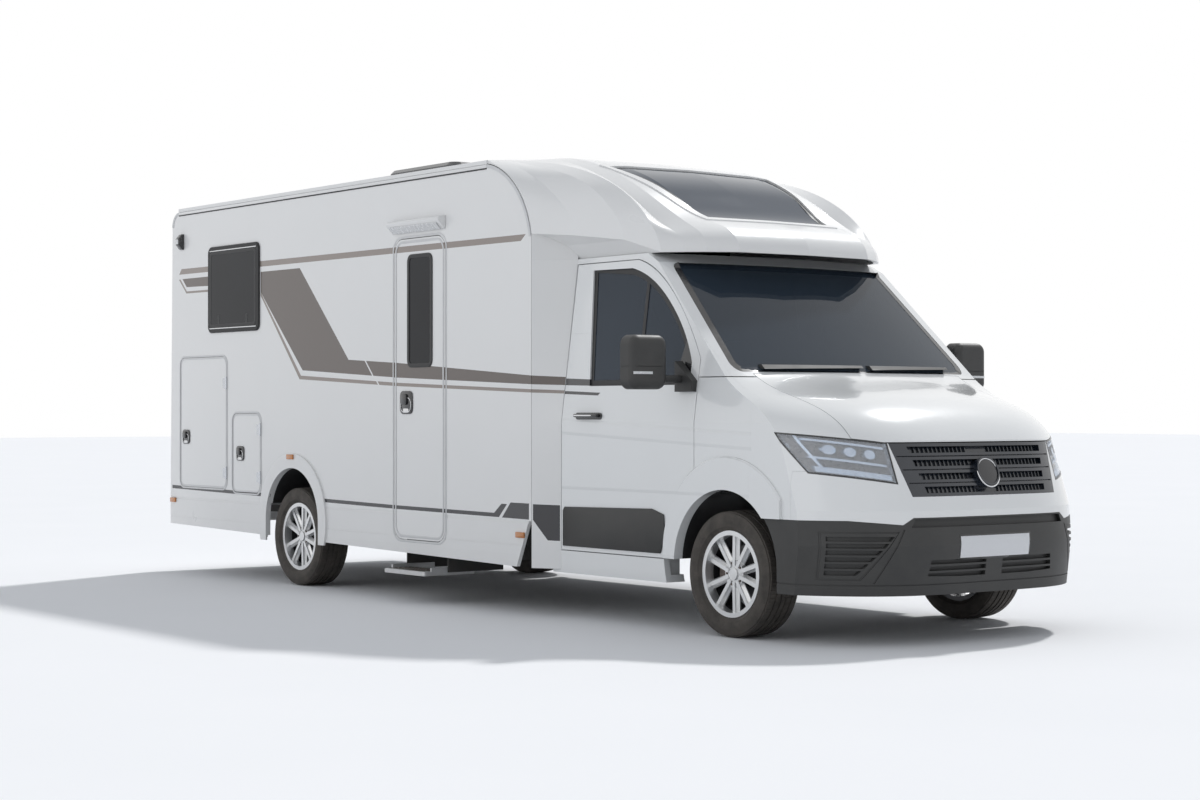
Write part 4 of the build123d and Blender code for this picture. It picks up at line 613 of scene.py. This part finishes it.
def latch(name, body, side, x, z, wide, high):
    """Flush D-handle: a black plate with a bright rim round its well, and a grip across the well."""
    drawn = bmesh.new()
    slab(drawn, rounded(x - wide / 2, x + wide / 2, z - high / 2, z + high / 2, wide * 0.24), side, HALF_WIDTH,
         0.0003, 0.007)
    softened(drawn, 0.002)
    slab(drawn, rounded(x - wide * 0.34, x + wide * 0.10, z - high * 0.10, z + high * 0.38, wide * 0.12), side,
         HALF_WIDTH, 0.0065, 0.017)
    softened(drawn, 0.0006, 70.0)
    fitted(drawn, name + "_handle", body, gloss_black, "gloss_black")
    drawn = bmesh.new()
    well = on_wall(side, x - wide * 0.40, x + wide * 0.40, z - high * 0.42, z + high * 0.20, wide * 0.26)
    strip(drawn, well, Vector((0.0, side, 0.0)), -0.0022 * side, 0.0022 * side, 0.0065, 0.0105)
    slab(drawn, rounded(x - wide * 0.22, x + wide * 0.22, z - high * 0.44, z - high * 0.26, wide * 0.07), side,
         HALF_WIDTH, 0.0065, 0.0095)
    softened(drawn, 0.0005)
    fitted(drawn, name + "_handle_rim", body, bright, "alloy")


low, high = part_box("entrance_door")
glass_low, glass_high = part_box("entrance_glass")
for name, body, path, across, proud, edge, material, slot in (
        ("door_frame", "body", on_wall(-1, low.x - 0.011, high.x + 0.011, low.z - 0.011, high.z + 0.011, 0.086),
         (-0.0035, 0.009), (0.0003, 0.0021), 0.0007, frame_grey, "alloy"),
        ("door_leaf_frame", "entrance_door",
         on_wall(-1, low.x + 0.019, high.x - 0.019, low.z + 0.019, high.z - 0.019, 0.072),
         (-0.007, 0.007), (0.0002, 0.0032), 0.001, frame_grey, "alloy"),
        ("door_glass_seal", "entrance_door",
         on_wall(-1, glass_low.x, glass_high.x, glass_low.z, glass_high.z, 0.035),
         (-0.014, 0.012), (0.0003, 0.0060), 0.0015, seal, "rubber")):
    bar(name, body, path, Vector((0.0, -1.0, 0.0)), across, proud, edge, material, slot)
latch("door", "entrance_door", -1, AXLE_X - 3.016, 1.266, 0.150, 0.148)


# ------------ lids along the sides
# Lids of the garages and the small locker: wall skin in a pale rounded frame, with aluminium hinges at
# the front edge and a flush handle near the rear edge. A frame of the same section lines each opening.

LIDS = [("garage_hatch_right", -1, 0.100, 1.017), ("small_hatch_right", -1, 0.122, 0.905),
        ("garage_hatch_left", 1, 0.100, 1.017)]
HINGE_REACH = 0.010     # how far the hinges run past a lid's front edge
for lid, side, inset, height in LIDS:
    low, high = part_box(lid)
    front = high.x - HINGE_REACH
    for part, body, path, across, proud, edge in (
            ("_surround", "body", on_wall(side, low.x - 0.010, front + 0.010, low.z - 0.010, high.z + 0.010, 0.070),
             (side * -0.0045, side * 0.0075), (0.0003, 0.0032), 0.001),
            ("_edge", lid, on_wall(side, low.x + 0.009, front - 0.009, low.z + 0.009, high.z - 0.009, 0.052),
             (side * -0.005, side * 0.005), (0.0002, 0.0024), 0.0008)):
        bar(lid + part, body, path, Vector((0.0, side, 0.0)), across, proud, edge, frame_grey, "alloy")
    latch(lid, lid, side, low.x + inset, height, 0.118, 0.106)


# ------------ roof and its fittings
# Sandwich roof with a white rail along each wall over a black strip of painted shade, a roof light with a
# smoked dome in a moulded curb, a lamp under a visor over the door, and end and marker lamps screwed to the walls.

def amber(place):
    """Amber reflector with a fine prism pattern."""
    prisms = place.parts()[0].repeat(0.008)
    return {"Base Color": place.noise(60.0).between((0.42, 0.13, 0.015, 1), (0.56, 0.20, 0.03, 1)),
            "Roughness": 0.18, "Normal": prisms.bump(0.4, 0.002), "Coat Weight": 0.5}


# Frosted white lamp tube, and a smoked acrylic dome that is dusty on top.
milk = plain("lamp_milk", (50.0, 2.0), (0.80, 0.81, 0.82), (0.70, 0.71, 0.72), (0.1, 0.22),
             {"Transmission Weight": 0.15, "Coat Weight": 0.4})
dome = plain("smoked_dome", (8.0, 4.0), (0.020, 0.022, 0.026), (0.075, 0.078, 0.080), (0.15, 0.10),
             {"Coat Weight": 0.5, "Coat Roughness": 0.05}, 0.5)
amber_lens = finish("amber_lens", amber)
clad(["skylight"], dome)
SIDES = (("right", -1), ("left", 1))

roof_low, roof_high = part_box("roof")
for name, side in SIDES:
    out = Vector((0.0, side, 0.0))
    path = [Vector((x, side * HALF_WIDTH, roof_low.z - 0.012)) for x in (roof_low.x - 0.005, roof_high.x - 0.01)]
    bar("roof_rail_" + name, "body", path, out, (-0.010, 0.010), (0.0003, 0.0060), 0.0015, moulding, "white_moulding",
        closed=False)
    # Painted shade: a black strip under each rail stands in for the shade line the rail casts.
    path = [point - Vector((0, 0, 0.0145)) for point in path]
    bar("roof_rail_shade_line_" + name, "body", path, out, (-0.004, 0.004), (0.0003, 0.0030), 0.0, seal, "rubber",
        closed=False)

UP = Vector((0.0, 0.0, 1.0))
low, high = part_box("skylight")
curb = [Vector((x, y, roof_high.z + 0.0004))
        for x, y in rounded(low.x - 0.008, high.x + 0.008, low.y - 0.008, high.y + 0.008, 0.060)]
bar("skylight_curb", "body", curb, UP, (-0.004, 0.020), (-0.010, 0.026), 0.004, moulding, "white_moulding")


VISOR = [(0.0003, 2.352), (0.010, 2.352), (0.056, 2.398), (0.060, 2.416), (0.052, 2.426), (0.0003, 2.438)]
VISOR_LAMP = [(0.014, 2.352), (0.020, 2.350), (0.054, 2.384), (0.054, 2.392)]
END_LAMP = [(0.0003, 2.424), (0.020, 2.430), (0.046, 2.462), (0.046, 2.508), (0.020, 2.540), (0.0003, 2.545)]


def along_wall(name, side, section, rear, front, edge, material, slot):
    """A straight bar along a wall, its section given as (out from the wall, height) points."""
    drawn = bmesh.new()
    outline = [(AXLE_X - rear, side * (HALF_WIDTH + reach), height) for reach, height in section]
    plate(drawn, outline, (rear - front, 0, 0))
    if edge:
        softened(drawn, edge)
    fitted(drawn, name, "body", material, slot)


along_wall("door_visor", -1, VISOR, 3.180, 2.565, 0.003, moulding, "white_moulding")
along_wall("door_visor_lamp", -1, VISOR_LAMP, 3.150, 2.595, 0.0, milk, "lamp")
for name, side in SIDES:
    along_wall("end_lamp_base_" + name, side, END_LAMP, 6.206, 6.150, 0.006, gloss_black, "gloss_black")
    drawn = bmesh.new()
    slab(drawn, rounded(AXLE_X - 6.196, AXLE_X - 6.160, 2.466, 2.504, 0.008), side, HALF_WIDTH, 0.0455, 0.0480)
    softened(drawn, 0.001)
    fitted(drawn, "end_lamp_" + name, "body", milk, "lamp")

# Each marker lamp: metres behind the front axle, height, and how far out the panel under it stands.
MARKERS = [("front", 1.750, 0.475, 0.0003), ("middle", 4.500, 0.893, 0.0143), ("rear", 6.322, 0.537, 0.0003)]
for name, side in SIDES:
    for spot, behind, height, seat in MARKERS:
        drawn = bmesh.new()
        x = AXLE_X - behind
        slab(drawn, rounded(x - 0.044, x + 0.044, height - 0.017, height + 0.017, 0.006), side, HALF_WIDTH, seat,
             seat + 0.011)
        softened(drawn, 0.002)
        fitted(drawn, "marker_" + spot + "_" + name, "body", amber_lens, "lamp")


# ------------ roof cap over the cab
# One large white moulding. Its roof pane is bonded in flush and ringed by a black printed edge, and a
# flat grey rail runs down the front edge of each side wall, along its top and down its rear edge.

# Dark tempered roof glass with a blue reflection painted into its colour.
clad(["cap_window"], plain("blue_roof_glass", (1.4, 2.0), (0.010, 0.026, 0.052), (0.020, 0.040, 0.072), (0.03, 0.04),
                           {"Specular IOR Level": 0.25}))


def copied(node):
    """A copy of a piece's skin, with its doubles merged and its faces outward."""
    skin = bmesh.new()
    skin.from_mesh(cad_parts[node].data)
    bmesh.ops.remove_doubles(skin, verts=skin.verts, dist=1e-5)
    bmesh.ops.recalc_face_normals(skin, faces=skin.faces)
    return skin


def rim_of(node, facing, least):
    """Loops of points round the faces of a node that face one way, with the surface direction at each."""
    skin = copied(node)
    chosen = {face for face in skin.faces if face.normal.dot(facing) > least}
    border = {}
    for edge in skin.edges:
        held = [face for face in edge.link_faces if face in chosen]
        if len(held) == 1:
            for one, other in (edge.verts, reversed(edge.verts)):
                border.setdefault(one, []).append((other, held[0].normal))
    loops = []
    while border:
        here, before = next(iter(border)), None
        points, ups = [], []
        while here is not None and here in border:
            following = border.pop(here)
            points.append(here.co.copy())
            ups.append(sum((up for _, up in following), Vector()).normalized())
            onward = [other for other, _ in following if other is not before and other in border]
            before, here = here, (onward[0] if onward else None)
        loops.append((points, ups))
    skin.free()
    loops.sort(key=lambda loop: -len(loop[0]))
    return loops


def thinned(points, ups, gap):
    """Leave out points that crowd closer than a gap, so that a bar laid along them doesn't fold."""
    kept, leans = [points[0]], [ups[0]]
    for point, up in zip(points[1:], ups[1:]):
        if (point - kept[-1]).length > gap and (point - points[0]).length > gap * 0.6:
            kept.append(point)
            leans.append(up)
    return kept, leans


def turning(points, axis):
    """1 where points run anticlockwise seen from the tip of an axis, else -1."""
    area = sum((a.cross(b) for a, b in zip(points, points[1:] + points[:1])), Vector())
    return 1.0 if area.dot(axis) > 0 else -1.0


def edging(name, body, loop, gap, axis, across, proud, edge, material, slot):
    """A bar along a rim: its reach across the rim, inward first, and from what to what it stands out."""
    points, ups = thinned(*loop, gap)
    way = turning(points, axis)
    bar(name, body, points, ups, [reach * way for reach in across], proud, edge, material, slot)


edging("roof_pane_edge", "body", rim_of("cap_window", Vector((0.45, 0.0, 0.89)), 0.45)[0], 0.012, UP,
       (-0.030, 0.0015), (-0.0008, 0.0012), 0.0, gloss_black, "gloss_black")

for name, side in SIDES:
    out = Vector((0.0, side, 0.0))
    loops = rim_of("wall_" + name, out, 0.9)
    loops.sort(key=lambda loop: min(point.z for point in loop[0]) - max(point.z for point in loop[0]))
    points = loops[0][0]
    # The rail keeps to the top and the two ends, and leaves out the door opening and the wheel arch.
    at_end = [not wall_low.x + 0.045 < point.x < wall_high.x - 0.026 for point in points]
    railed = [point.z > 2.5 or (point.z > 0.66 and end) or (point.z > 0.95 and point.x > 0.3)
              for point, end in zip(points, at_end)]
    start = next(k for k in range(len(points)) if railed[k] and not railed[k - 1])
    points = [point for point, kept in (list(zip(points, railed)) * 2)[start:start + len(points)] if kept]
    way = turning(points, out)
    bar("wall_edge_rail_" + name, "body", points, out, (-0.021 * way, -0.0006 * way), (0.0003, 0.0042), 0.0,
        frame_grey, "alloy", closed=False)


# ------------ cab body
# Painted steel panels. Black parts go over them: the seals round the glass, the moulding clipped along
# the foot of each door, and the door pulls with a bright bar. The windscreen is bonded in.

BELT_LINES = [
    [(1.475, 1.364), (1.475, 1.404), (1.240, 1.396), (1.240, 1.359)],
    [(1.475, 1.312), (1.475, 1.330), (1.130, 1.318), (1.150, 1.302)],
]


def cab_paint(place):
    """White paint under clear lacquer, black wax in the wheel arches, and the belt stripes on the doors."""
    along, across, up = place.parts()
    dust = place.noise(3.5, 4.0)
    low = (up < 0.42) * 0.12
    flank = across.size()
    crease = up + along * 0.0418
    scoop = ((crease - 1.126) * 60.0).held() * ((1.222 - crease) * 60.0).held() + ((up - 0.755) * 60.0).held()
    swage = scoop * (flank > 0.93) * (along < 2.9) * 0.5
    arch = (along > 2.20) * (along < 3.12) * (flank < 0.957) * (up < 0.96)
    bare = (dust * 0.10 + low).between((0.79, 0.80, 0.80, 1), (0.56, 0.56, 0.55, 1))
    shade = (flank > 0.95).between(bare, covered(bare, along, up, INK, BELT_LINES))
    shade = arch.between(shade, (0.014, 0.014, 0.015, 1))
    return {"Base Color": shade, "Roughness": dust * 0.08 + arch * 0.5 + 0.13, "Coat Weight": 0.8,
            "Coat Roughness": 0.04, "Normal": swage.bump(0.8, 0.012)}


def windscreen_glass(place):
    """Tinted laminated glass, darker towards the top, with a faint blue reflection painted into its colour."""
    up = place.parts()[2]
    haze = place.noise(1.5, 2.0)
    tint = haze * 0.4 + (up - 1.42) * 0.5
    return {"Base Color": tint.between((0.045, 0.062, 0.084, 1), (0.016, 0.026, 0.040, 1)),
            "Roughness": haze * 0.02 + 0.02, "Alpha": 0.84, "Specular IOR Level": 0.28}


def grained_plastic(place):
    """Black moulded plastic with a fine leather grain and a little dust."""
    dust = place.noise(7.0, 5.0)
    return {"Base Color": dust.between((0.016, 0.017, 0.018, 1), (0.050, 0.049, 0.047, 1)),
            "Roughness": dust * 0.2 + 0.42, "Normal": place.noise(420.0, 2.0).bump(0.3, 0.0006)}


paint = finish("cab_paint", cab_paint)
screen = finish("windscreen_glass", windscreen_glass)
grained = finish("grained_plastic", grained_plastic)
clad(["cab_shell", "cab_door_left", "cab_door_right", "front_wings", "bonnet", "bumper_upper"], paint)
clad(["windscreen", "cab_glass_left", "cab_glass_right"], screen)
clad(["mirror_left", "mirror_right", "wipers", "bumper_lower"], grained)

CAB_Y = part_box("cab_door_left")[1].y
# Strips over the side glass, each cut out of its skin by planes: x, its way, z, its slope.
GLASS_STRIPS = [("divider", [(AXLE_X - 0.812, 1.0, 1.4, 0.0), (AXLE_X - 0.786, -1.0, 1.4, 0.0)], seal),
                ("sail", [(AXLE_X - 0.480, 1.0, 1.357, 0.30)], gloss_black)]
DOOR_MOULDING = [(1.455, 0.423), (0.545, 0.423), (0.503, 0.520), (0.515, 0.640), (0.620, 0.669), (1.440, 0.652),
                 (1.455, 0.630)]
for name, side in SIDES:
    door = "cab_door_" + name
    out = Vector((0.0, side, 0.0))
    edging("side_glass_seal_" + name, door, rim_of("cab_glass_" + name, Vector((0.0, side, 0.10)), 0.6)[0], 0.010,
           out, (-0.038, 0.001), (0.0003, 0.0040), 0.0012, seal, "rubber")
    for part, cuts, material in GLASS_STRIPS:
        skin = copied("cab_glass_" + name)
        inward = [face for face in skin.faces if face.normal.y * side < 0.6]
        bmesh.ops.delete(skin, geom=inward, context="FACES")
        for x, way, z, slope in cuts:
            bmesh.ops.bisect_plane(skin, geom=skin.verts[:] + skin.edges[:] + skin.faces[:], plane_co=(x, 0, z),
                                   plane_no=(-way, 0, slope), clear_outer=True)
        bmesh.ops.solidify(skin, geom=skin.faces[:], thickness=-0.0044)
        fitted(skin, "side_glass_" + part + "_" + name, door, material, "gloss_black")
    drawn = bmesh.new()
    slab(drawn, [(AXLE_X - behind, height) for behind, height in DOOR_MOULDING], side, CAB_Y, 0.0003, 0.0095)
    softened(drawn, 0.004)
    fitted(drawn, "door_moulding_" + name, door, grained, "black_plastic")
    drawn = bmesh.new()
    slab(drawn, rounded(AXLE_X - 1.337, AXLE_X - 1.087, 1.163, 1.203, 0.019), side, CAB_Y, -0.004, 0.0035)
    softened(drawn, 0.0015)
    slab(drawn, rounded(AXLE_X - 1.325, AXLE_X - 1.105, 1.176, 1.196, 0.009), side, CAB_Y, 0.003, 0.030)
    softened(drawn, 0.003, 75.0)
    fitted(drawn, "door_pull_" + name, door, gloss_black, "gloss_black")
    drawn = bmesh.new()
    slab(drawn, rounded(AXLE_X - 1.318, AXLE_X - 1.150, 1.183, 1.190, 0.003), side, CAB_Y, 0.0295, 0.032)
    fitted(drawn, "door_pull_bar_" + name, door, bright, "alloy")

edging("windscreen_border", "body", rim_of("windscreen", Vector((0.75, 0.0, 0.66)), 0.35)[0], 0.012, UP,
       (-0.042, 0.003), (-0.0008, 0.0014), 0.0, gloss_black, "gloss_black")


# ------------ lamps, grille and bumper
# Clear covers over dark bowls with bright lenses and light bars, a gloss grille with a moulded mesh
# behind its slats, a bare disc in a bright ring, and a grained bumper that carries a blank plate.

def lamp_lens(place):
    """Clear polycarbonate."""
    haze = place.noise(3.0, 2.0)
    return {"Base Color": (0.95, 0.97, 1.0, 1), "Roughness": haze * 0.02 + 0.01, "Alpha": haze * 0.06 + 0.14,
            "IOR": 1.45, "Coat Weight": 0.9, "Coat Roughness": 0.01}


def lamp_bowl(place):
    """Bright vacuum metal on the raised lenses and bars of the bowl, finely fluted, with a blue reflection painted
    into its colour.
    """
    flutes = place.parts()[1].repeat(0.012)
    return {"Base Color": place.noise(30.0).between((0.30, 0.38, 0.50, 1), (0.52, 0.60, 0.70, 1)),
            "Metallic": 0.9, "Roughness": 0.14, "Normal": flutes.bump(0.35, 0.002)}


# Navy-black gloss moulding.
navy = plain("grille_gloss", (12.0, 3.0), (0.010, 0.014, 0.022), (0.020, 0.025, 0.034), (0.12, 0.18),
             {"Coat Weight": 0.5, "Coat Roughness": 0.05})
clad(["headlamps"], finish("lamp_bright_work", lamp_bowl))
clad(["headlamp_glass"], finish("lamp_lens", lamp_lens))
clad(["grille"], navy)


def touch(node):
    """A finder that gives the point and direction where a line towards -facing meets a piece."""
    skin = bmesh.new()
    skin.from_mesh(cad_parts[node].data)
    tree = BVHTree.FromBMesh(skin)
    skin.free()

    def find(point, facing):
        hit, normal, _, _ = tree.ray_cast(Vector(point) + Vector(facing) * 5.0, -Vector(facing))
        return hit, normal
    return find


FORWARD = (1.0, 0.0, 0.0)
on_lens = touch("headlamp_glass")
on_grille = touch("grille")
on_bumper = touch("bumper_lower")

# The bowl itself is dark: a liner lies over its floor and leaves the lenses and bars bare.
BAR_RISE = 0.018        # how far behind its cover a lens or bar ends
for name, side in SIDES:
    liner = copied("headlamps")
    bare = []
    for face in liner.faces:
        spot = face.calc_center_median()
        front, _ = on_lens(spot, FORWARD)
        sunk = front is None or front.x - spot.x > BAR_RISE
        if side * spot.y < 0 or face.normal.x < 0.30 or not sunk:
            bare.append(face)
    bmesh.ops.delete(liner, geom=bare, context="FACES")
    bmesh.ops.solidify(liner, geom=liner.faces[:], thickness=-0.0008)
    fitted(liner, "lamp_liner_" + name, "body", gloss_black, "gloss_black")
    loops = rim_of("headlamp_glass", Vector((0.80, side * 0.55, 0.25)), 0.45)
    edging("lamp_edge_" + name, "body", next(loop for loop in loops if loop[0][0].y * side > 0), 0.010,
           Vector(FORWARD), (-0.007, 0.0012), (-0.002, 0.0010), 0.0, gloss_black, "gloss_black")

RING_R, RING_WIRE = 0.0775, 0.0045
ring_section = [(RING_R + RING_WIRE * cos(k * pi / 4), RING_WIRE * sin(k * pi / 4)) for k in range(8)]
disc_section = [(0.0, 0.0025), (0.058, 0.0020), (0.0725, 0.0), (0.0725, -0.002), (0.0, -0.002)]
centre, lean = on_grille((0.0, 0.001, 0.889), FORWARD)
seat = Matrix.Translation(centre + lean * 0.0005) @ lean.to_track_quat("Z", "Y").to_matrix().to_4x4()
for name, section, closed, material, slot in (("emblem_ring", ring_section, True, bright, "alloy"),
                                              ("emblem_disc", disc_section, False, gloss_black, "gloss_black")):
    drawn = bmesh.new()
    turned(drawn, [(reach, 0.0, rise) for reach, rise in section], (0, 0, 0), (0, 0, 1), 56, closed)
    bmesh.ops.transform(drawn, matrix=seat, verts=drawn.verts)
    fitted(drawn, name, "body", material, slot)

MESH_PITCH = 0.030
drawn = bmesh.new()
for number in range(-15, 16):
    across = number * MESH_PITCH
    foot, _ = on_grille((0.0, across, 0.781), FORWARD)
    head, _ = on_grille((0.0, across, 1.040), FORWARD)
    if foot and head and abs(across) > RING_R - 0.0075:
        path = [spot - Vector((0.020, 0, 0)) for spot in (foot, head)]
        strip(drawn, path, Vector(FORWARD), -0.0025, 0.0025, -0.006, 0.004, closed=False)
fitted(drawn, "grille_mesh", "body", navy, "gloss_black")

PLATE_HALF, PLATE_LOW, PLATE_HIGH = 0.260, 0.452, 0.564


def bumper_plate(name, margin, drop, seat, thick, material, slot):
    """A plate that follows the bumper's face, with a margin over the blank plate and a further drop below it."""
    drawn = bmesh.new()
    half, low_z, high_z = PLATE_HALF + margin, PLATE_LOW - margin - drop, PLATE_HIGH + margin
    rows = []
    for level in range(7):
        spots = [(0.0, half * step / 6 + 0.0002, low_z + (high_z - low_z) * level / 6) for step in range(-6, 7)]
        rows.append([drawn.verts.new(on_bumper(spot, FORWARD)[0] + Vector((seat, 0, 0))) for spot in spots])
    faces = []
    for below, above in zip(rows, rows[1:]):
        faces += [drawn.faces.new(corners) for corners in zip(below, below[1:], above[1:], above)]
    thickened(drawn, faces, (thick, 0, 0))
    softened(drawn, thick * 0.3, 60.0)
    fitted(drawn, name, "body", material, slot)


bumper_plate("front_plate_holder", 0.008, 0.002, 0.0002, 0.0006, gloss_black, "gloss_black")
# Reflective white plate without any sign on it.
blank = plain("blank_plate", (300.0, 2.0), (0.74, 0.75, 0.77), (0.64, 0.65, 0.67), (0.1, 0.34))
bumper_plate("front_plate", 0.0, 0.0, 0.0007, 0.0005, blank, "white_paint")


# ------------ mirrors
# Heads of grained plastic on the doors, each with a large upper and a small lower glass behind, and a
# pale side indicator let in across the front.

def mirror_face(place):
    """Silvered glass."""
    return {"Base Color": place.noise(6.0).between((0.62, 0.66, 0.70, 1), (0.70, 0.73, 0.76, 1)), "Metallic": 1.0,
            "Roughness": 0.03}


silvered = finish("mirror_glass", mirror_face)
BACKWARD = (-1.0, 0.0, 0.0)
for name, side in SIDES:
    low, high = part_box("mirror_" + name)
    on_mirror = touch("mirror_" + name)
    outer = low.y if side < 0 else high.y
    door = "cab_door_" + name
    for part, low_z, high_z in (("upper", low.z + 0.115, high.z - 0.025), ("lower", low.z + 0.022, low.z + 0.080)):
        drawn = bmesh.new()
        path = rounded(*sorted((outer - side * 0.022, outer - side * 0.178)), low_z, high_z, 0.018)
        backs = [on_mirror((0.0, y, z), BACKWARD)[0] for y, z in path]
        depth = min(hit.x for hit in backs if hit) - 0.0003
        plate(drawn, [(depth, y, z) for y, z in path], (-0.0016, 0, 0))
        fitted(drawn, "mirror_glass_" + part + "_" + name, door, silvered, "glass")
    drawn = bmesh.new()
    rows = []
    for height in (low.z + 0.094, low.z + 0.108):
        spots = [(0.0, outer - side * (0.014 + 0.122 * step / 8), height) for step in range(9)]
        hits = [on_mirror(spot, FORWARD) for spot in spots]
        rows.append([drawn.verts.new(hit + up * 0.0004) for hit, up in hits])
    faces = [drawn.faces.new(corners) for corners in zip(rows[0], rows[0][1:], rows[1][1:], rows[1])]
    thickened(drawn, faces, (0.0022, 0, 0))
    fitted(drawn, "side_indicator_" + name, door, milk, "lamp")


# ------------ inside the cab
# Two swivel seats: cushions, backs and head rests of foam sewn into grey cloth with a lighter middle,
# on turning plinths of black steel. A two-tone dashboard is bolted in behind the windscreen.

def seat_cloth(place):
    """Grey woven cloth: fine crossing threads and a lighter middle panel."""
    along, across, up = place.parts()
    weave = along.repeat(0.004) + up.repeat(0.004) + across.repeat(0.004)
    middle = (across * across - 0.176).size() < 0.085
    shade = middle.between((0.055, 0.057, 0.062, 1), (0.155, 0.150, 0.145, 1))
    worn = place.noise(20.0, 4.0) * 0.25
    return {"Base Color": worn.between(shade, (0.20, 0.20, 0.20, 1)), "Roughness": worn * 0.2 + 0.82,
            "Normal": weave.bump(0.6, 0.004), "Sheen Weight": 0.3}


def dash_plastic(place):
    """Two-tone dashboard: nearly black above, dark grey below."""
    up = place.parts()[2]
    dust = place.noise(15.0, 3.0)
    return {"Base Color": (up > 1.17).between((0.050, 0.051, 0.053, 1), (0.018, 0.018, 0.019, 1)),
            "Roughness": dust * 0.15 + 0.5, "Normal": place.noise(350.0, 2.0).bump(0.25, 0.0006)}


cloth = finish("seat_cloth", seat_cloth)
clad(["cab_seats"], cloth)
clad(["dashboard"], finish("dash_plastic", dash_plastic))
SWELL = 4.0             # pressure of the foam under the cloth
MOST_SWELL = 0.012      # and how far out it may push the cloth
SWELL_FRAMES = 20


def stuffed(mesh, name):
    """Turn a drawn closed form into a swollen pad of cloth over foam."""
    made = joined(mesh, name)
    made.data.materials.append(cloth)
    bpy.context.view_layer.objects.active = made
    grid = made.modifiers.new("grid", "REMESH")
    grid.mode = "VOXEL"
    grid.voxel_size = 0.012
    bpy.ops.object.modifier_apply(modifier="grid")
    rest = [vertex.co.copy() for vertex in made.data.vertices]
    fabric = made.modifiers.new("fabric", "CLOTH")
    fabric.settings.use_pressure = True
    fabric.settings.uniform_pressure_force = SWELL
    fabric.settings.effector_weights.gravity = 0.0
    fabric.point_cache.frame_end = SWELL_FRAMES
    for number in range(1, SWELL_FRAMES + 1):
        bpy.context.scene.frame_set(number)
    bpy.ops.object.modifier_apply(modifier="fabric")
    bpy.context.scene.frame_set(1)
    for vertex, start in zip(made.data.vertices, rest):
        moved = vertex.co - start
        if moved.length > MOST_SWELL:
            vertex.co = start + moved.normalized() * MOST_SWELL
    for face in made.data.polygons:
        face.use_smooth = True
    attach(made, "body")


SEAT_X = AXLE_X - 1.180
RECLINED = Matrix.Translation((SEAT_X - 0.210, 0.0, 0.870)) @ Matrix.Rotation(radians(-14.0), 4, "Y")
for name, side in SIDES:
    middle_y = side * 0.420
    for part, centre, size, place in (
            ("cushion", (SEAT_X + 0.015, middle_y, 0.862), (0.480, 0.470, 0.108), Matrix()),
            ("back", (0.0, middle_y, 0.330), (0.092, 0.450, 0.590), RECLINED),
            ("head_rest", (0.0, middle_y, 0.725), (0.066, 0.230, 0.170), RECLINED)):
        drawn = bmesh.new()
        block(drawn, size, (0.0, 0.0, 0.0))
        rolled(drawn, drawn.edges[:], min(size) * 0.42, 4)
        bmesh.ops.translate(drawn, vec=centre, verts=drawn.verts)
        bmesh.ops.transform(drawn, matrix=place, verts=drawn.verts)
        stuffed(drawn, "seat_" + part + "_" + name)
    drawn = bmesh.new()
    block(drawn, (0.340, 0.340, 0.190), (SEAT_X, middle_y, 0.7))
    rolled(drawn, drawn.edges[:], 0.02)
    disc = bmesh.ops.create_cone(drawn, cap_ends=True, segments=32, radius1=0.150, radius2=0.140, depth=0.030)
    bmesh.ops.translate(drawn, vec=(SEAT_X, middle_y, 0.803), verts=disc["verts"])
    for reach in (-0.07, 0.07):
        stem = bmesh.ops.create_cone(drawn, cap_ends=True, segments=12, radius1=0.007, radius2=0.007, depth=0.090)
        spot = RECLINED @ Matrix.Translation((0.0, middle_y + reach, 0.632))
        bmesh.ops.transform(drawn, matrix=spot, verts=stem["verts"])
    base = fitted(drawn, "seat_plinth_" + name, "body", steel, "steel")
    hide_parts("cab_seats")


# ------------ tail lamps
# Combined lamps in the rear corners: red above and below, a clear band and an amber band between, in
# ribbed acrylic. A gloss black bezel holds each to the rear wall.

TAIL_BANDS = [(0.80, (0.62, 0.62, 0.62, 1)), (0.88, (0.50, 0.16, 0.02, 1)), (0.96, (0.38, 0.014, 0.014, 1))]


def tail_lens(place):
    """Ribbed acrylic in three colours, with dark divisions between them."""
    up = place.parts()[2]
    shade, division = (0.34, 0.012, 0.012, 1), 0.0
    for height, band in TAIL_BANDS:
        shade = (up > height).between(shade, band)
        division = ((up - height).size() < 0.004).most(division)
    return {"Base Color": division.between(shade, (0.02, 0.02, 0.02, 1)), "Roughness": place.noise(60.0) * 0.1 + 0.10,
            "Normal": up.repeat(0.010).bump(0.4, 0.002), "Coat Weight": 0.6, "Coat Roughness": 0.03}


clad(["tail_lamps"], finish("tail_lens", tail_lens))
low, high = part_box("tail_lamps")
for name, side in SIDES:
    inner_y, outer_y = sorted((side * (high.y - 0.105), side * high.y))
    path = [Vector((low.x + 0.004, y, z)) for y, z in rounded(inner_y, outer_y, low.z, high.z, 0.010)]
    bar("tail_lamp_bezel_" + name, "body", path, Vector((-1, 0, 0)), (-0.006, 0.006), (0.0, 0.0035), 0.0,
        gloss_black, "gloss_black")
